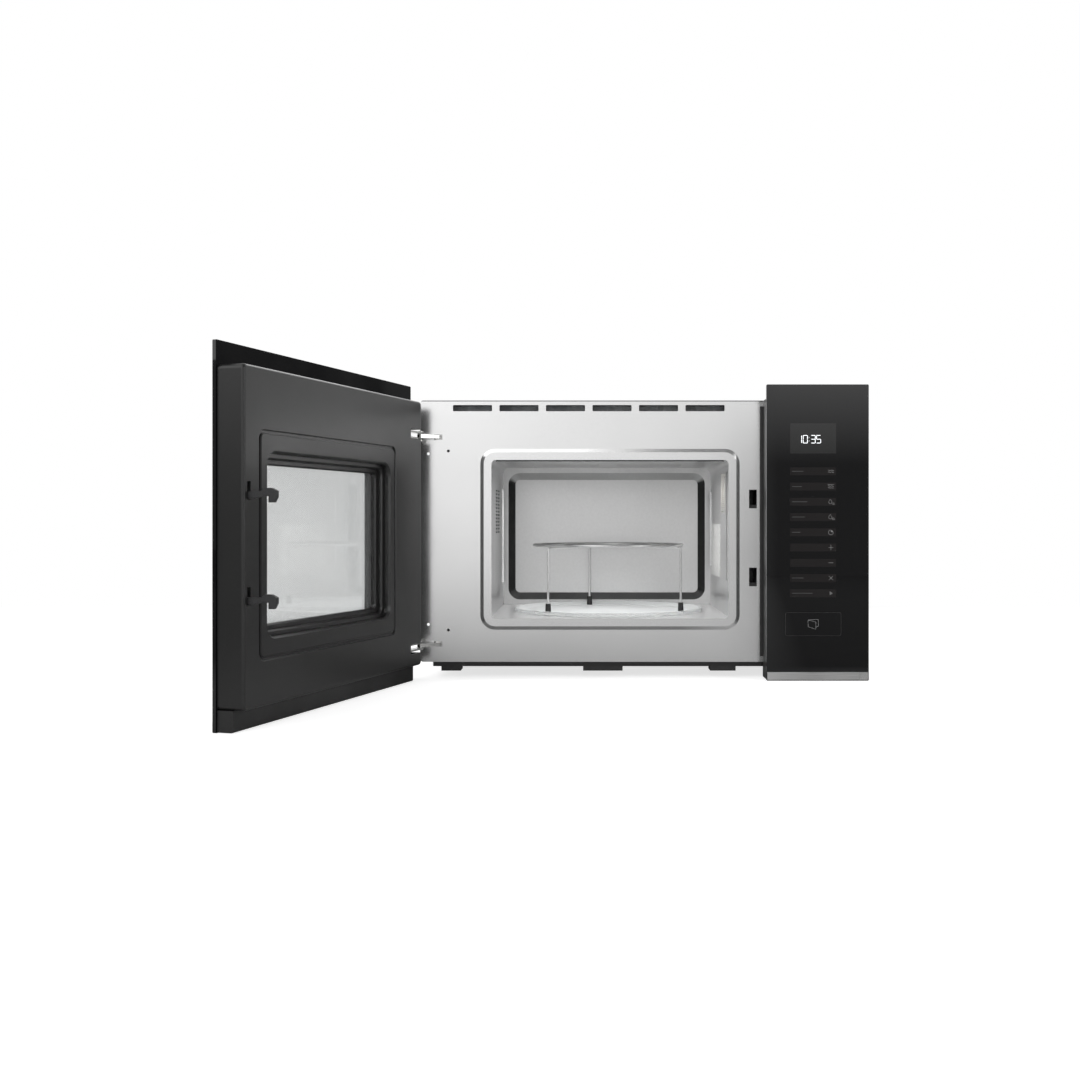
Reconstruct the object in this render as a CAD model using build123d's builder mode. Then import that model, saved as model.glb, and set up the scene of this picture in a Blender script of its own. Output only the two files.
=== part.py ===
from build123d import *
import os
from math import atan2, cos, degrees, hypot, radians, sin

# A built-in microwave oven with its door standing open, in millimetres.
# X runs to the right, Y into the cabinet and Z up. The origin lies on the shelf, on the cavity's centre
# plane, where the front edge of the cabinet meets the back of the front plate.

# Front: door glass and control panel side by side
FRONT_W = 595.0
FRONT_H = 388.0
FRONT_DROP = 8.5
CAVITY_FROM_LEFT = 256.8
PANEL_W = 134.0
DOOR_PANEL_GAP = 3.0
GLASS_T = 4.0
GLASS_R = 1.5
STRIP_H = 10.2
STRIP_T = 0.8
STRIP_INSET = 1.1

# Front plate of the oven, pressed from sheet
PLATE_T = 1.2
PLATE_INSET = 2.5
PLATE_BOTTOM = 12.0
PLATE_H = 350.0
PLATE_R = 4.0
OPENING_W = 317.4
OPENING_H = 212.3
OPENING_SILL = 70.0
OPENING_R = 6.0
LAND_BORDER = 15.0
LAND_RAISE = 1.8
LAND_SLOPE = 4.7
LAND_R = 20.0
VENT_COUNT = 6
VENT_L = 52.4
VENT_H = 8.4
VENT_PITCH = 62.3
VENT_CENTRE_X = -28.4
VENT_BELOW_TOP = 10.2
VENT_R = 1.5
FIXING_HOLE_R = 1.9
FIXING_FROM_EDGE = 13.5
FIXING_LOW_Z = 62.2
FIXING_SPACING = 228.5
HINGE_SCREW_FROM_ROOT = 13.3
HINGE_SCREW_FROM_ARM = 18.6
STEM_CLEARANCE = 2.5

# Door
DOOR_T = 34.0
DOOR_GAP = 4.0
DOOR_OPEN_ANGLE = 106.5
HINGE_INSET = 5.0
HINGE_DEPTH = 20.0
FRAME_FREE_INSET = 2.0
FRAME_FOOT = 22.3
FRAME_H = 341.7
FRAME_WALL = 2.6
FRAME_R = 5.0
FRAME_EDGE_R = 3.0
LEDGE_T = 18.0
LEDGE_FOOT = 0.5
LEDGE_R = 2.0
GROOVE_W = 319.0
GROOVE_H = 234.0
GROOVE_R = 10.0
GROOVE_LINE = 5.0
GROOVE_BREAK = 0.9
GROOVE_DEPTH = 2.1
GROOVE_TAPER = 10.0
RECESS_W = 284.0
RECESS_H = 188.0
RECESS_R = 15.0
RECESS_OFFSET = 12.0
RECESS_STEPS = 3
STEP_W = 6.0
STEP_D = 5.6
STEP_BREAK = 1.6
RECESS_BREAK = 2.2
BREAK_TAPER = 45.0
BEZEL_WALL = 2.0
PANE_T = 1.0
SCREEN_T = 0.8

# Hinges
ARM_T = 4.5
ARM_W = 8.0
ARM_Z = (36.0, 313.0)
ARM_ROOT_FROM_SIDE = 6.5
ARM_DOOR_GAP = 1.0
ARM_ROOT_L = 16.0
ARM_SLOT_CLEARANCE = 1.5
FOOT_PLATE_T = 2.0
FOOT_PLATE_W = 26.0
FOOT_PLATE_SHORT = 6.0
FOOT_PLATE_LONG = 24.0
PIN_R = 2.5
PIN_CLEARANCE = 0.35
PIN_FIT = 0.05
PIN_HEAD_R = 3.8
PIN_HEAD_T = 1.2
PRONG_T = 2.5
PRONG_W = 9.0
PRONG_GAP = 0.4
BRIDGE_T = 2.5
BRIDGE_EAR = 8.0
NOTCH_L = 33.0
NOTCH_GAP = 1.2
NOTCH_R = 1.5

# Latch
LATCH_SLOT_W = 10.3
LATCH_SLOT_H = 24.9
LATCH_X = 191.5
LATCH_Z = (125.7, 230.1)
HOOK_T = 4.5
HOOK_H = 10.3
HOOK_ROOT_H = 7.0
HOOK_ROOT_L = 8.0
HOOK_NECK_L = 6.0
HOOK_NECK_RISE = 2.2
HOOK_HEAD_L = 13.0
HOOK_REACH = 32.0
HOOK_BARB = 4.0
HOOK_BARB_L = 9.0
HOOK_NOSE = 3.0
HOOK_LIFT = 6.0
HOOK_SHIFT = 1.3
HOOK_SLOT_GAP = 1.0
BAR_W = 8.0
BAR_END = 10.0
LATCH_WALL = 2.0
LATCH_ROOM = 0.5
LATCH_BOARD_DEPTH = 45.0
LATCH_BOARD_MARGIN = 30.0
LATCH_FLANGE = 8.0
CATCH_H = 8.0
RUNNING_GAP = 0.4
SWITCH_L = 28.0
SWITCH_H = 16.0
SWITCH_T = 10.0
PLUNGER_R = 1.5
PLUNGER_L = 8.0
PLUNGER_CLEARANCE = 1.0

# Control panel
PANEL_GAP = 0.4
HOUSING_BELOW_TOP = 17.5
HOUSING_WALL = 2.0
HOUSING_FLANGE = 4.0
HOUSING_FLANGE_T = 3.0
BUTTON_W = 73.0
BUTTON_H = 30.7
BUTTON_X = 265.5
BUTTON_SHARE = 0.1907
BUTTON_R = 3.0
BUTTON_TRAVEL = 4.0
BUTTON_FLANGE = 2.0
BUTTON_FLANGE_T = 1.6
STEM_W = 8.0
STEM_H = 14.0
STEM_FROM_LEFT = 6.0
WEDGE_L = 8.0
WEDGE_START = 16.0
SLIDER_T = 5.0
SLIDER_REST = 3.0
FOOT_RISE = 11.0
FINGER_T = 4.0
FINGER_W = 6.0
FINGER_ROOM = 3.0
BOARD_T = 1.6
BOARD_SETBACK = 19.0
BOARD_MARGIN = 9.0
BOARD_BOTTOM = 96.0
BOARD_BELOW_TOP = 17.0
RELAY_SIZE = 16.0
RELAY_T = 9.0
RELAY_PITCH = 30.0
RELAY_COUNT = 4
DISPLAY_W = 60.2
DISPLAY_H = 39.5
DISPLAY_SHARE = 0.8177
KEY_W = 60.2
KEY_COUNT = 9
KEY_PITCH_SHARE = 0.05144
KEY_LAST_SHARE = 0.2951
FOIL_T = 0.5
FOIL_MARGIN = 8.0
POST_R = 3.0
POST_INSET = 8.0

# Cavity
CAVITY_SETBACK = 3.0
CAVITY_TO_BACK = 37.0
CAVITY_R = 10.0
WALL_T = 1.0
CAVITY_SKIRT = 4.0
PANEL_PRESS = 10.0
PANEL_PRESS_SLOPE = 10.5
PANEL_PRESS_INSET = 8.0
PANEL_PRESS_R = 18.0
WELL_INSET = 20.0
WELL_SLOPE = 6.0
WELL_DEPTH = 13.5
SHAFT_HOLE_R = 9.0
SIDE_VENT_Y = 162.0
SIDE_VENT_Z = 214.5
SIDE_VENT_ROWS = 13
SIDE_VENT_L = 38.0
SIDE_VENT_GAP = 6.0
LAMP_VENT_ROWS = 19
LAMP_VENT_L = 54.0
LAMP_VENT_SLOT = 1.5
LAMP_VENT_ROW = 2.9
INTAKE_Y = 50.0
INTAKE_Z = 194.0
INTAKE_L = 14.0
INTAKE_ROWS = 52
BEAD_Y = 262.0
BEAD_W = 6.0
BEAD_D = 2.2
BEAD_TAPER = 30.0
LEFT_BEAD_Z = 177.5
LEFT_BEAD_L = 149.0
RIGHT_BEAD_Z = 189.5
RIGHT_BEAD_L = 119.0
VENT_SLOT = 2.6
VENT_ROW = 5.0
GRILL_SLOT = 4.2
GRILL_ROW = 8.0
GRILL_ROWS = 11
GRILL_SLOT_L = 96.0
GRILL_GAP = 26.0
PORT_Y = 191.0
PORT_Z = 158.0
PORT_L = 92.0
PORT_H = 54.0
COVER_L = 116.0
COVER_H = 76.0
COVER_T = 0.8

# Turntable and rack
TABLE_ROOM = 13.0
TABLE_T = 4.0
TABLE_RIM_H = 8.0
TABLE_RIM_W = 17.0
TABLE_LIP_W = 5.0
ROLLER_R = 5.5
ROLLER_W = 7.0
TRACK_INSET = 30.0
ROLLER_GAP = 0.3
ROLLER_TURNS = (90.0, 210.0, 330.0)
STUB_R = 2.0
RING_T = 5.0
RING_W = 8.0
COUPLER_R = 10.0
LOBE_R = 22.0
LOBE_W = 9.0
LOBE_COUNT = 3
BOSS_TURN = 60.0
BOSS_R = 3.0
SHAFT_R = 3.5
MOTOR_R = 25.0
MOTOR_EAR_W = 10.0
MOTOR_H = 16.0
RACK_INSET = 28.0
RACK_H = 96.0
RACK_WIRE_R = 2.0
RACK_INNER_R = 62.0
RACK_BEND = 4.0
RACK_WELD = 0.6
LEG_WIRE_R = 1.6
RACK_LEG_ANGLES = (104.0, 220.0, 337.0)
BOOT_R = 4.2
BOOT_H = 13.0
BOOT_TAPER = 3.0
BOOT_FLOOR = 2.0
BOOT_FIT = 0.05

# Body
BODY_W = 556.0
BODY_DEPTH = 320.0
WRAP_T = 1.0
WRAP_BELOW_PLATE_TOP = 2.5
BASE_UNDERSIDE = 6.0
BASE_T = 1.0
BASE_FLANGE_H = 14.0
FOOT_L = 28.0
FOOT_FROM_SIDE = 23.3
FOOT_W = 26.0
MIDDLE_FOOT_X = -9.5
MIDDLE_FOOT_W = 53.0
RIGHT_FOOT_X = 151.5
WIDE_FOOT_W = 34.0
REAR_FOOT_FROM_BACK = 22.0
GLAND_R = 9.0
GLAND_BORE_R = 4.0
GLAND_FIT = 0.1
GLAND_FLANGE_R = 12.0
GLAND_FLANGE_T = 2.0
GLAND_L = 12.0
GLAND_FROM_SIDE = 25.7
GLAND_Z = 62.0
ACCESS_R = 42.0
ACCESS_T = 1.0
DUCT_H = 20.0
DUCT_L = 45.0
DUCT_MARGIN = 6.0

# Works beside and above the cavity
GUIDE_SHARE = 0.245
GUIDE_MARGIN = 7.0
FEED_BELOW_TOP = 30.0
ANTENNA_R = 9.5
ANTENNA_L = 26.0
ANTENNA_FIT = 0.5
YOKE_SHARE = 0.465
YOKE_L = 94.0
YOKE_H = 80.0
YOKE_T = 2.0
ANODE_R = 20.0
FIN_COUNT = 6
FIN_T = 0.8
FIN_PITCH = 7.0
MAGNET_R = 27.0
MAGNET_T = 12.0
FILTER_SHARE = 0.168
FILTER_L = 60.0
FILTER_H = 44.0
CORE_L = 60.0
CORE_H = 74.0
CORE_FOOT = 14.0
CORE_FOOT_T = 1.5
CORE_WINDOW_W = 15.0
CORE_LEG = 14.0
CORE_SHARE = 0.577
CORE_Y = 112.0
WINDING_BULGE = 12.0
WINDING_FIT = 0.3
CAN_L = 92.0
CAN_W = 50.0
CAN_H = 32.0
CAN_SHARE = 0.473
CAN_Y = 208.0
CLAMP_T = 1.2
CLAMP_FIT = 0.1
CLAMP_W = 16.0
CLAMP_EAR = 14.0
FAN_SHARE = 0.5
FAN_Z = 160.0
FAN_R = 54.0
FAN_GAP = 4.0
FAN_HUB_R = 14.0
BLADE_ROOT_R = 10.0
FAN_W = 16.0
FAN_BLADES = 6
BLADE_T = 1.6
BLADE_PITCH = 38.0
SHROUD_SIDE = 126.0
SHROUD_DEPTH = 26.0
SHROUD_T = 2.5
SEAT_R = 20.0
SEAT_T = 3.0
SEAT_ARM_W = 9.0
SEAT_ARMS = 3
STACK_W = 58.0
STACK_H = 46.0
STACK_T = 16.0
COIL_W = 34.0
COIL_H = 22.0
COIL_T = 28.0
FAN_SHAFT_R = 2.5
BLADE_CHORD = 22.0
LOUVRE_H = 4.0
LOUVRE_L = 46.0
LOUVRE_ROW = 9.0
LOUVRE_ROWS = 11
LAMP_Y = 94.0
LAMP_Z = 240.0
LAMP_L = 60.0
LAMP_H = 62.0
LAMP_DEPTH = 30.0
BULB_R = 11.0
BULB_TAPER = 12.0
SOCKET_R = 8.0
SOCKET_L = 9.0
REFLECTOR_W = 256.0
REFLECTOR_L = 112.0
REFLECTOR_H = 28.0
REFLECTOR_Y = 204.0
TUBE_R = 5.0
TUBE_SPACING = 46.0
TUBE_CAP_R = 7.5
TUBE_CAP_L = 12.0
CUTOUT_R = 9.0
CUTOUT_H = 9.0
CUTOUT_FLANGE_T = 3.0
CUTOUT_X = -90.0
CUTOUT_Y = 70.0
FILTER_BOARD_W = 92.0
FILTER_BOARD_H = 72.0
FILTER_BOARD_Z = 290.0
STANDOFF = 7.0
STANDOFF_R = 3.0
CHOKE_R = 13.0
CHOKE_H = 18.0

# Derived levels and edges
FRONT_LEFT = -CAVITY_FROM_LEFT
FRONT_RIGHT = FRONT_LEFT + FRONT_W
FRONT_BOTTOM = -FRONT_DROP
FRONT_TOP = FRONT_BOTTOM + FRONT_H
DOOR_W = FRONT_W - PANEL_W - DOOR_PANEL_GAP
PANEL_LEFT = FRONT_RIGHT - PANEL_W
PLATE_FACE_Y = -PLATE_T
GLASS_FRONT_Y = PLATE_FACE_Y - DOOR_GAP - DOOR_T
GLASS_BACK_Y = GLASS_FRONT_Y + GLASS_T
PLATE_LEFT = FRONT_LEFT + PLATE_INSET
PLATE_RIGHT = FRONT_RIGHT - PLATE_INSET
PLATE_TOP = PLATE_BOTTOM + PLATE_H
OPENING_TOP = OPENING_SILL + OPENING_H
OPENING_MID_Z = OPENING_SILL + OPENING_H / 2
CAVITY_X = OPENING_W / 2 + CAVITY_SETBACK
CAVITY_TOP = OPENING_TOP + CAVITY_SETBACK / 2
CAVITY_OUTER_X = CAVITY_X + WALL_T
CAVITY_OUTER_TOP = CAVITY_TOP + WALL_T
CAVITY_DEPTH = BODY_DEPTH - CAVITY_TO_BACK
TABLE_Y = CAVITY_DEPTH / 2
TABLE_D = CAVITY_DEPTH - TABLE_ROOM
WELL_D = TABLE_D - WELL_INSET
ROLLER_TRACK_R = TABLE_D / 2 - TRACK_INSET
RACK_R = TABLE_D / 2 - RACK_INSET
WELL_FLOOR = OPENING_SILL - WELL_DEPTH
ROLLER_Z = WELL_FLOOR + ROLLER_GAP + ROLLER_R
TABLE_UNDERSIDE = ROLLER_Z + ROLLER_R + ROLLER_GAP
TABLE_TOP = TABLE_UNDERSIDE + TABLE_T
BODY_LEFT = FRONT_LEFT + (FRONT_W - BODY_W) / 2
BODY_RIGHT = BODY_LEFT + BODY_W
BODY_TOP = PLATE_TOP - WRAP_BELOW_PLATE_TOP
INSIDE_LEFT = BODY_LEFT + WRAP_T
INSIDE_RIGHT = BODY_RIGHT - WRAP_T
INSIDE_TOP = BODY_TOP - WRAP_T
BASE_TOP = BASE_UNDERSIDE + BASE_T
HINGE_X = FRONT_LEFT + HINGE_INSET
HINGE_Y = GLASS_FRONT_Y + HINGE_DEPTH
ARM_ROOT_X = INSIDE_LEFT + ARM_ROOT_FROM_SIDE
FRAME_HINGE_INSET = ARM_ROOT_X + ARM_W / 2 + ARM_DOOR_GAP - FRONT_LEFT
FRAME_RIGHT = DOOR_W - FRAME_FREE_INSET
FRAME_TOP = FRAME_FOOT + FRAME_H
FRAME_SKIN = DOOR_T - FRAME_WALL
WINDOW_U = CAVITY_FROM_LEFT + RECESS_OFFSET
WINDOW_V = OPENING_MID_Z - FRONT_BOTTOM
BEZEL_REAR = FRAME_SKIN - RECESS_STEPS * STEP_D
HOUSING_TOP = FRONT_TOP - HOUSING_BELOW_TOP
BOARD_TOP = HOUSING_TOP - BOARD_BELOW_TOP
BUTTON_Z = FRONT_BOTTOM + BUTTON_SHARE * FRONT_H
DISPLAY_Z = FRONT_BOTTOM + DISPLAY_SHARE * FRONT_H
KEY_PITCH = KEY_PITCH_SHARE * FRONT_H
KEY_LAST_Z = FRONT_BOTTOM + KEY_LAST_SHARE * FRONT_H
STEM_X = BUTTON_X - BUTTON_W / 2 + STEM_FROM_LEFT + STEM_W / 2
WORKS_W = INSIDE_RIGHT - CAVITY_OUTER_X
GUIDE_W = GUIDE_SHARE * WORKS_W
YOKE_W = YOKE_SHARE * WORKS_W
FILTER_W = FILTER_SHARE * WORKS_W
CORE_X = CAVITY_OUTER_X + CORE_SHARE * WORKS_W
CAN_X = CAVITY_OUTER_X + CAN_SHARE * WORKS_W
FAN_X = CAVITY_OUTER_X + FAN_SHARE * WORKS_W
GLAND_X = INSIDE_RIGHT - GLAND_FROM_SIDE
LEFT_FOOT = (INSIDE_LEFT + FOOT_FROM_SIDE, FOOT_W)
FRONT_FEET = (LEFT_FOOT, (MIDDLE_FOOT_X, MIDDLE_FOOT_W), (RIGHT_FOOT_X, WIDE_FOOT_W))
REAR_FEET = (LEFT_FOOT, (INSIDE_RIGHT - FOOT_FROM_SIDE, WIDE_FOOT_W))
GUIDE_RIGHT = CAVITY_OUTER_X + GUIDE_W
GUIDE_TOP = CAVITY_TOP - CAVITY_R
FEED_Z = GUIDE_TOP - FEED_BELOW_TOP
SCREW_SIDE = {ARM_Z[0]: 1, ARM_Z[1]: -1}
HOOK_U = LATCH_X - HOOK_SHIFT - FRONT_LEFT
HOOK_TIP_Y = GLASS_FRONT_Y + DOOR_T + HOOK_REACH


def front_plane(y):
    """Sketch plane that faces the room: sketch x is X, sketch y is Z, and it pushes towards the room."""
    return Plane(origin=(0, y, 0), x_dir=(1, 0, 0), z_dir=(0, -1, 0))


def side_plane(x):
    """Sketch plane that faces right: sketch x is Y and sketch y is Z."""
    return Plane(origin=(x, 0, 0), x_dir=(0, 1, 0), z_dir=(1, 0, 0))


def swung(closed):
    """A plane of the closed door, turned with it to where the door stands open."""
    swing = Location((HINGE_X, HINGE_Y, 0), (0, 0, -DOOR_OPEN_ANGLE)) * Location((-HINGE_X, -HINGE_Y, 0))
    return Plane(swing * closed.location)


def door_plane(depth):
    """Plane of the open door, a depth behind its glass: x from the hinge edge, y from the glass's foot."""
    corner = (FRONT_LEFT, GLASS_FRONT_Y + depth, FRONT_BOTTOM)
    return swung(Plane(origin=corner, x_dir=(1, 0, 0), z_dir=(0, -1, 0)))


def door_level(height):
    """Level plane of the open door at a height: x from the hinge edge, y back from the glass."""
    return swung(Plane(origin=(FRONT_LEFT, GLASS_FRONT_Y, height), x_dir=(1, 0, 0), z_dir=(0, 0, 1)))


def door_section(across):
    """Upright plane through the open door: x back from the glass, y is the height above the shelf."""
    return swung(Plane(origin=(FRONT_LEFT + across, GLASS_FRONT_Y, 0), x_dir=(0, 1, 0), z_dir=(1, 0, 0)))


def span(left, right, bottom, top, radius=0.0, mode=Mode.ADD):
    """Rectangle between two corners of the active sketch, with rounded corners where a radius is given."""
    with Locations(((left + right) / 2, (bottom + top) / 2)):
        if radius > 0:
            RectangleRounded(right - left, top - bottom, radius, mode=mode)
        else:
            Rectangle(right - left, top - bottom, mode=mode)


def centred(x, y, width, height, radius=0.0, mode=Mode.ADD):
    """Rectangle about a point of the active sketch."""
    span(x - width / 2, x + width / 2, y - height / 2, y + height / 2, radius, mode)


# Front plate: one pressed sheet with a raised land round the opening, vents, latch and hinge slots
with BuildPart() as front_plate:
    land_w = OPENING_W + 2 * LAND_BORDER
    land_h = OPENING_H + 2 * LAND_BORDER
    with BuildSketch(front_plane(0)):
        span(PLATE_LEFT, PLATE_RIGHT, PLATE_BOTTOM, PLATE_TOP, PLATE_R)
    extrude(amount=PLATE_T)
    with BuildSketch(front_plane(PLATE_FACE_Y)):
        centred(0, OPENING_MID_Z, land_w, land_h, LAND_R)
    with BuildSketch(front_plane(PLATE_FACE_Y - LAND_RAISE)):
        centred(0, OPENING_MID_Z, land_w - 2 * LAND_SLOPE, land_h - 2 * LAND_SLOPE, LAND_R - LAND_SLOPE)
    loft()
    with BuildSketch(front_plane(0)):
        centred(0, OPENING_MID_Z, land_w - 2 * PLATE_T, land_h - 2 * PLATE_T, LAND_R - PLATE_T)
    with BuildSketch(front_plane(-LAND_RAISE)):
        hollow = 2 * LAND_SLOPE + 2 * PLATE_T
        centred(0, OPENING_MID_Z, land_w - hollow, land_h - hollow, LAND_R - LAND_SLOPE - PLATE_T)
    loft(mode=Mode.SUBTRACT)
    with BuildSketch(front_plane(0)):
        centred(0, OPENING_MID_Z, OPENING_W, OPENING_H, OPENING_R)
        with Locations((VENT_CENTRE_X, PLATE_TOP - VENT_BELOW_TOP)):
            with GridLocations(VENT_PITCH, VENT_PITCH, VENT_COUNT, 1):
                RectangleRounded(VENT_L, VENT_H, VENT_R)
        for z in LATCH_Z:
            centred(LATCH_X, z, LATCH_SLOT_W, LATCH_SLOT_H)
        for z in ARM_Z:
            centred(ARM_ROOT_X, z, ARM_W + 2 * ARM_SLOT_CLEARANCE, ARM_T + 2 * ARM_SLOT_CLEARANCE)
        with Locations(
            (FRONT_LEFT + FIXING_FROM_EDGE, FIXING_LOW_Z),
            (FRONT_LEFT + FIXING_FROM_EDGE, FIXING_LOW_Z + FIXING_SPACING),
        ):
            Circle(FIXING_HOLE_R)
        for z in ARM_Z:
            with Locations((ARM_ROOT_X + HINGE_SCREW_FROM_ROOT, z + SCREW_SIDE[z] * HINGE_SCREW_FROM_ARM)):
                Circle(FIXING_HOLE_R)
        centred(STEM_X, BUTTON_Z, STEM_W + 2 * STEM_CLEARANCE, STEM_H + 2 * STEM_CLEARANCE)
    extrude(amount=PLATE_T + LAND_RAISE, mode=Mode.SUBTRACT)

# Cavity: a folded wrapper for sides and ceiling, a floor with a round well, and a pressed rear wall
with BuildPart() as cavity_wrapper:
    with BuildSketch(front_plane(-LAND_RAISE)):
        low = OPENING_SILL - CAVITY_SKIRT
        span(-CAVITY_OUTER_X, CAVITY_OUTER_X, low - CAVITY_TOP, CAVITY_OUTER_TOP, CAVITY_R + WALL_T)
        span(-CAVITY_X, CAVITY_X, low - CAVITY_TOP, CAVITY_TOP, CAVITY_R, Mode.SUBTRACT)
        span(-CAVITY_OUTER_X, CAVITY_OUTER_X, low - CAVITY_TOP, low, mode=Mode.SUBTRACT)
    extrude(amount=-(CAVITY_DEPTH + LAND_RAISE))
    with BuildSketch(side_plane(-CAVITY_X)):
        with Locations((SIDE_VENT_Y, SIDE_VENT_Z)):
            with GridLocations(SIDE_VENT_L + SIDE_VENT_GAP, VENT_ROW, 2, SIDE_VENT_ROWS):
                Rectangle(SIDE_VENT_L, VENT_SLOT)
    extrude(amount=-WALL_T, mode=Mode.SUBTRACT)
    with BuildSketch(side_plane(CAVITY_X)):
        centred(PORT_Y, PORT_Z, PORT_L, PORT_H)
        with Locations((LAMP_Y, LAMP_Z)):
            with GridLocations(LAMP_VENT_L, LAMP_VENT_ROW, 1, LAMP_VENT_ROWS):
                Rectangle(LAMP_VENT_L, LAMP_VENT_SLOT)
        with Locations((INTAKE_Y, INTAKE_Z)):
            with GridLocations(INTAKE_L, LAMP_VENT_ROW, 1, INTAKE_ROWS):
                Rectangle(INTAKE_L, LAMP_VENT_SLOT)
    extrude(amount=WALL_T, mode=Mode.SUBTRACT)
    beads = ((-CAVITY_X, LEFT_BEAD_Z, LEFT_BEAD_L), (CAVITY_X, RIGHT_BEAD_Z, RIGHT_BEAD_L))
    for wall, bead_z, bead_l in beads:
        with BuildSketch(side_plane(wall)):
            with Locations((BEAD_Y, bead_z)):
                SlotOverall(bead_l, BEAD_W, rotation=90)
        extrude(amount=BEAD_D if wall < 0 else -BEAD_D, taper=BEAD_TAPER)
    with BuildSketch(Plane.XY.offset(CAVITY_TOP)):
        with Locations((0, REFLECTOR_Y)):
            with GridLocations(GRILL_SLOT_L + GRILL_GAP, GRILL_ROW, 2, GRILL_ROWS):
                Rectangle(GRILL_SLOT_L, GRILL_SLOT)
    extrude(amount=WALL_T, mode=Mode.SUBTRACT)

with BuildPart() as cavity_floor:
    with BuildSketch(Plane.XY.offset(OPENING_SILL - WALL_T)):
        span(-CAVITY_X, CAVITY_X, -LAND_RAISE, CAVITY_DEPTH)
    extrude(amount=WALL_T)
    with BuildSketch(Plane(origin=(0, TABLE_Y, 0), x_dir=(1, 0, 0), z_dir=(0, -1, 0))):
        with BuildLine():
            Polyline(
                (0, WELL_FLOOR - WALL_T),
                (WELL_D / 2 - WELL_SLOPE + WALL_T, WELL_FLOOR - WALL_T),
                (WELL_D / 2 + WALL_T, OPENING_SILL - WALL_T),
                (0, OPENING_SILL - WALL_T),
                close=True,
            )
        make_face()
    revolve(axis=Axis((0, TABLE_Y, 0), (0, 0, 1)))
    with BuildSketch(Plane(origin=(0, TABLE_Y, 0), x_dir=(1, 0, 0), z_dir=(0, -1, 0))):
        with BuildLine():
            Polyline(
                (0, WELL_FLOOR),
                (WELL_D / 2 - WELL_SLOPE, WELL_FLOOR),
                (WELL_D / 2, OPENING_SILL),
                (0, OPENING_SILL),
                close=True,
            )
        make_face()
    revolve(axis=Axis((0, TABLE_Y, 0), (0, 0, 1)), mode=Mode.SUBTRACT)
    with BuildSketch(Plane.XY.offset(WELL_FLOOR)):
        with Locations((0, TABLE_Y)):
            Circle(SHAFT_HOLE_R)
    extrude(amount=-WALL_T, mode=Mode.SUBTRACT)

with BuildPart() as cavity_rear_wall:
    press_w = 2 * (CAVITY_X - PANEL_PRESS_INSET)
    press_h = CAVITY_TOP - OPENING_SILL - 2 * PANEL_PRESS_INSET
    press_z = (CAVITY_TOP + OPENING_SILL) / 2
    with BuildSketch(front_plane(CAVITY_DEPTH)):
        low = OPENING_SILL - CAVITY_SKIRT
        span(-CAVITY_OUTER_X, CAVITY_OUTER_X, low, CAVITY_OUTER_TOP, CAVITY_R + WALL_T)
    extrude(amount=-WALL_T)
    for face_y, grow, mode in ((WALL_T, WALL_T, Mode.ADD), (0, 0, Mode.SUBTRACT)):
        with BuildSketch(front_plane(CAVITY_DEPTH + face_y)):
            centred(0, press_z, press_w + 2 * grow, press_h + 2 * grow, PANEL_PRESS_R + grow)
        with BuildSketch(front_plane(CAVITY_DEPTH + face_y + PANEL_PRESS)):
            slope = PANEL_PRESS_SLOPE - grow
            centred(0, press_z, press_w - 2 * slope, press_h - 2 * slope, PANEL_PRESS_R - slope)
        loft(mode=mode)

with BuildPart() as waveguide_cover:
    with BuildSketch(side_plane(CAVITY_X)):
        centred(PORT_Y, PORT_Z, COVER_L, COVER_H, CAVITY_SETBACK)
    extrude(amount=-COVER_T)

# Turntable: coupler on the motor shaft, roller ring with three wheels, glass plate, wire rack
TABLE_AXIS = Axis((0, TABLE_Y, 0), (0, 0, 1))
TABLE_SECTION = Plane(origin=(0, TABLE_Y, 0), x_dir=(1, 0, 0), z_dir=(0, -1, 0))

with BuildPart() as turntable_motor:
    motor_top = WELL_FLOOR - WALL_T
    with BuildSketch(Plane.XY.offset(motor_top)):
        with Locations((0, TABLE_Y)):
            Circle(MOTOR_R)
            SlotCenterToCenter(2 * MOTOR_R + MOTOR_EAR_W / 2, MOTOR_EAR_W)
    extrude(amount=-MOTOR_H)
    with BuildSketch(Plane.XY.offset(motor_top)):
        with Locations((0, TABLE_Y)):
            Circle(SHAFT_R)
    extrude(amount=TABLE_UNDERSIDE - motor_top - TABLE_T)

with BuildPart() as turntable_coupler:
    hub_foot = WELL_FLOOR + 2 * ROLLER_GAP
    with BuildSketch(Plane.XY.offset(hub_foot)):
        with Locations((0, TABLE_Y)):
            Circle(COUPLER_R)
            with PolarLocations(LOBE_R / 2, LOBE_COUNT):
                SlotOverall(LOBE_R, LOBE_W)
    extrude(amount=TABLE_UNDERSIDE - hub_foot)
    with BuildSketch(Plane.XY.offset(hub_foot)):
        with Locations((0, TABLE_Y)):
            Circle(SHAFT_R + PIN_CLEARANCE)
    extrude(amount=TABLE_UNDERSIDE - hub_foot - TABLE_T + 2 * ROLLER_GAP, mode=Mode.SUBTRACT)

with BuildPart() as roller_ring:
    ring_outer = ROLLER_TRACK_R - ROLLER_W / 2 - 2 * ROLLER_GAP
    with BuildSketch(Plane.XY.offset(ROLLER_Z - RING_T / 2)):
        with Locations((0, TABLE_Y)):
            Circle(ring_outer)
            Circle(ring_outer - RING_W, mode=Mode.SUBTRACT)
    extrude(amount=RING_T)
    for turn in ROLLER_TURNS:
        radial = (cos(radians(turn)), sin(radians(turn)), 0)
        start = (ring_outer - RING_W / 2) * Vector(radial) + Vector(0, TABLE_Y, ROLLER_Z)
        with BuildSketch(Plane(origin=start, x_dir=(0, 0, 1), z_dir=radial)):
            Circle(STUB_R)
        extrude(amount=RING_W / 2 + ROLLER_W + 4 * ROLLER_GAP)

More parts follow.
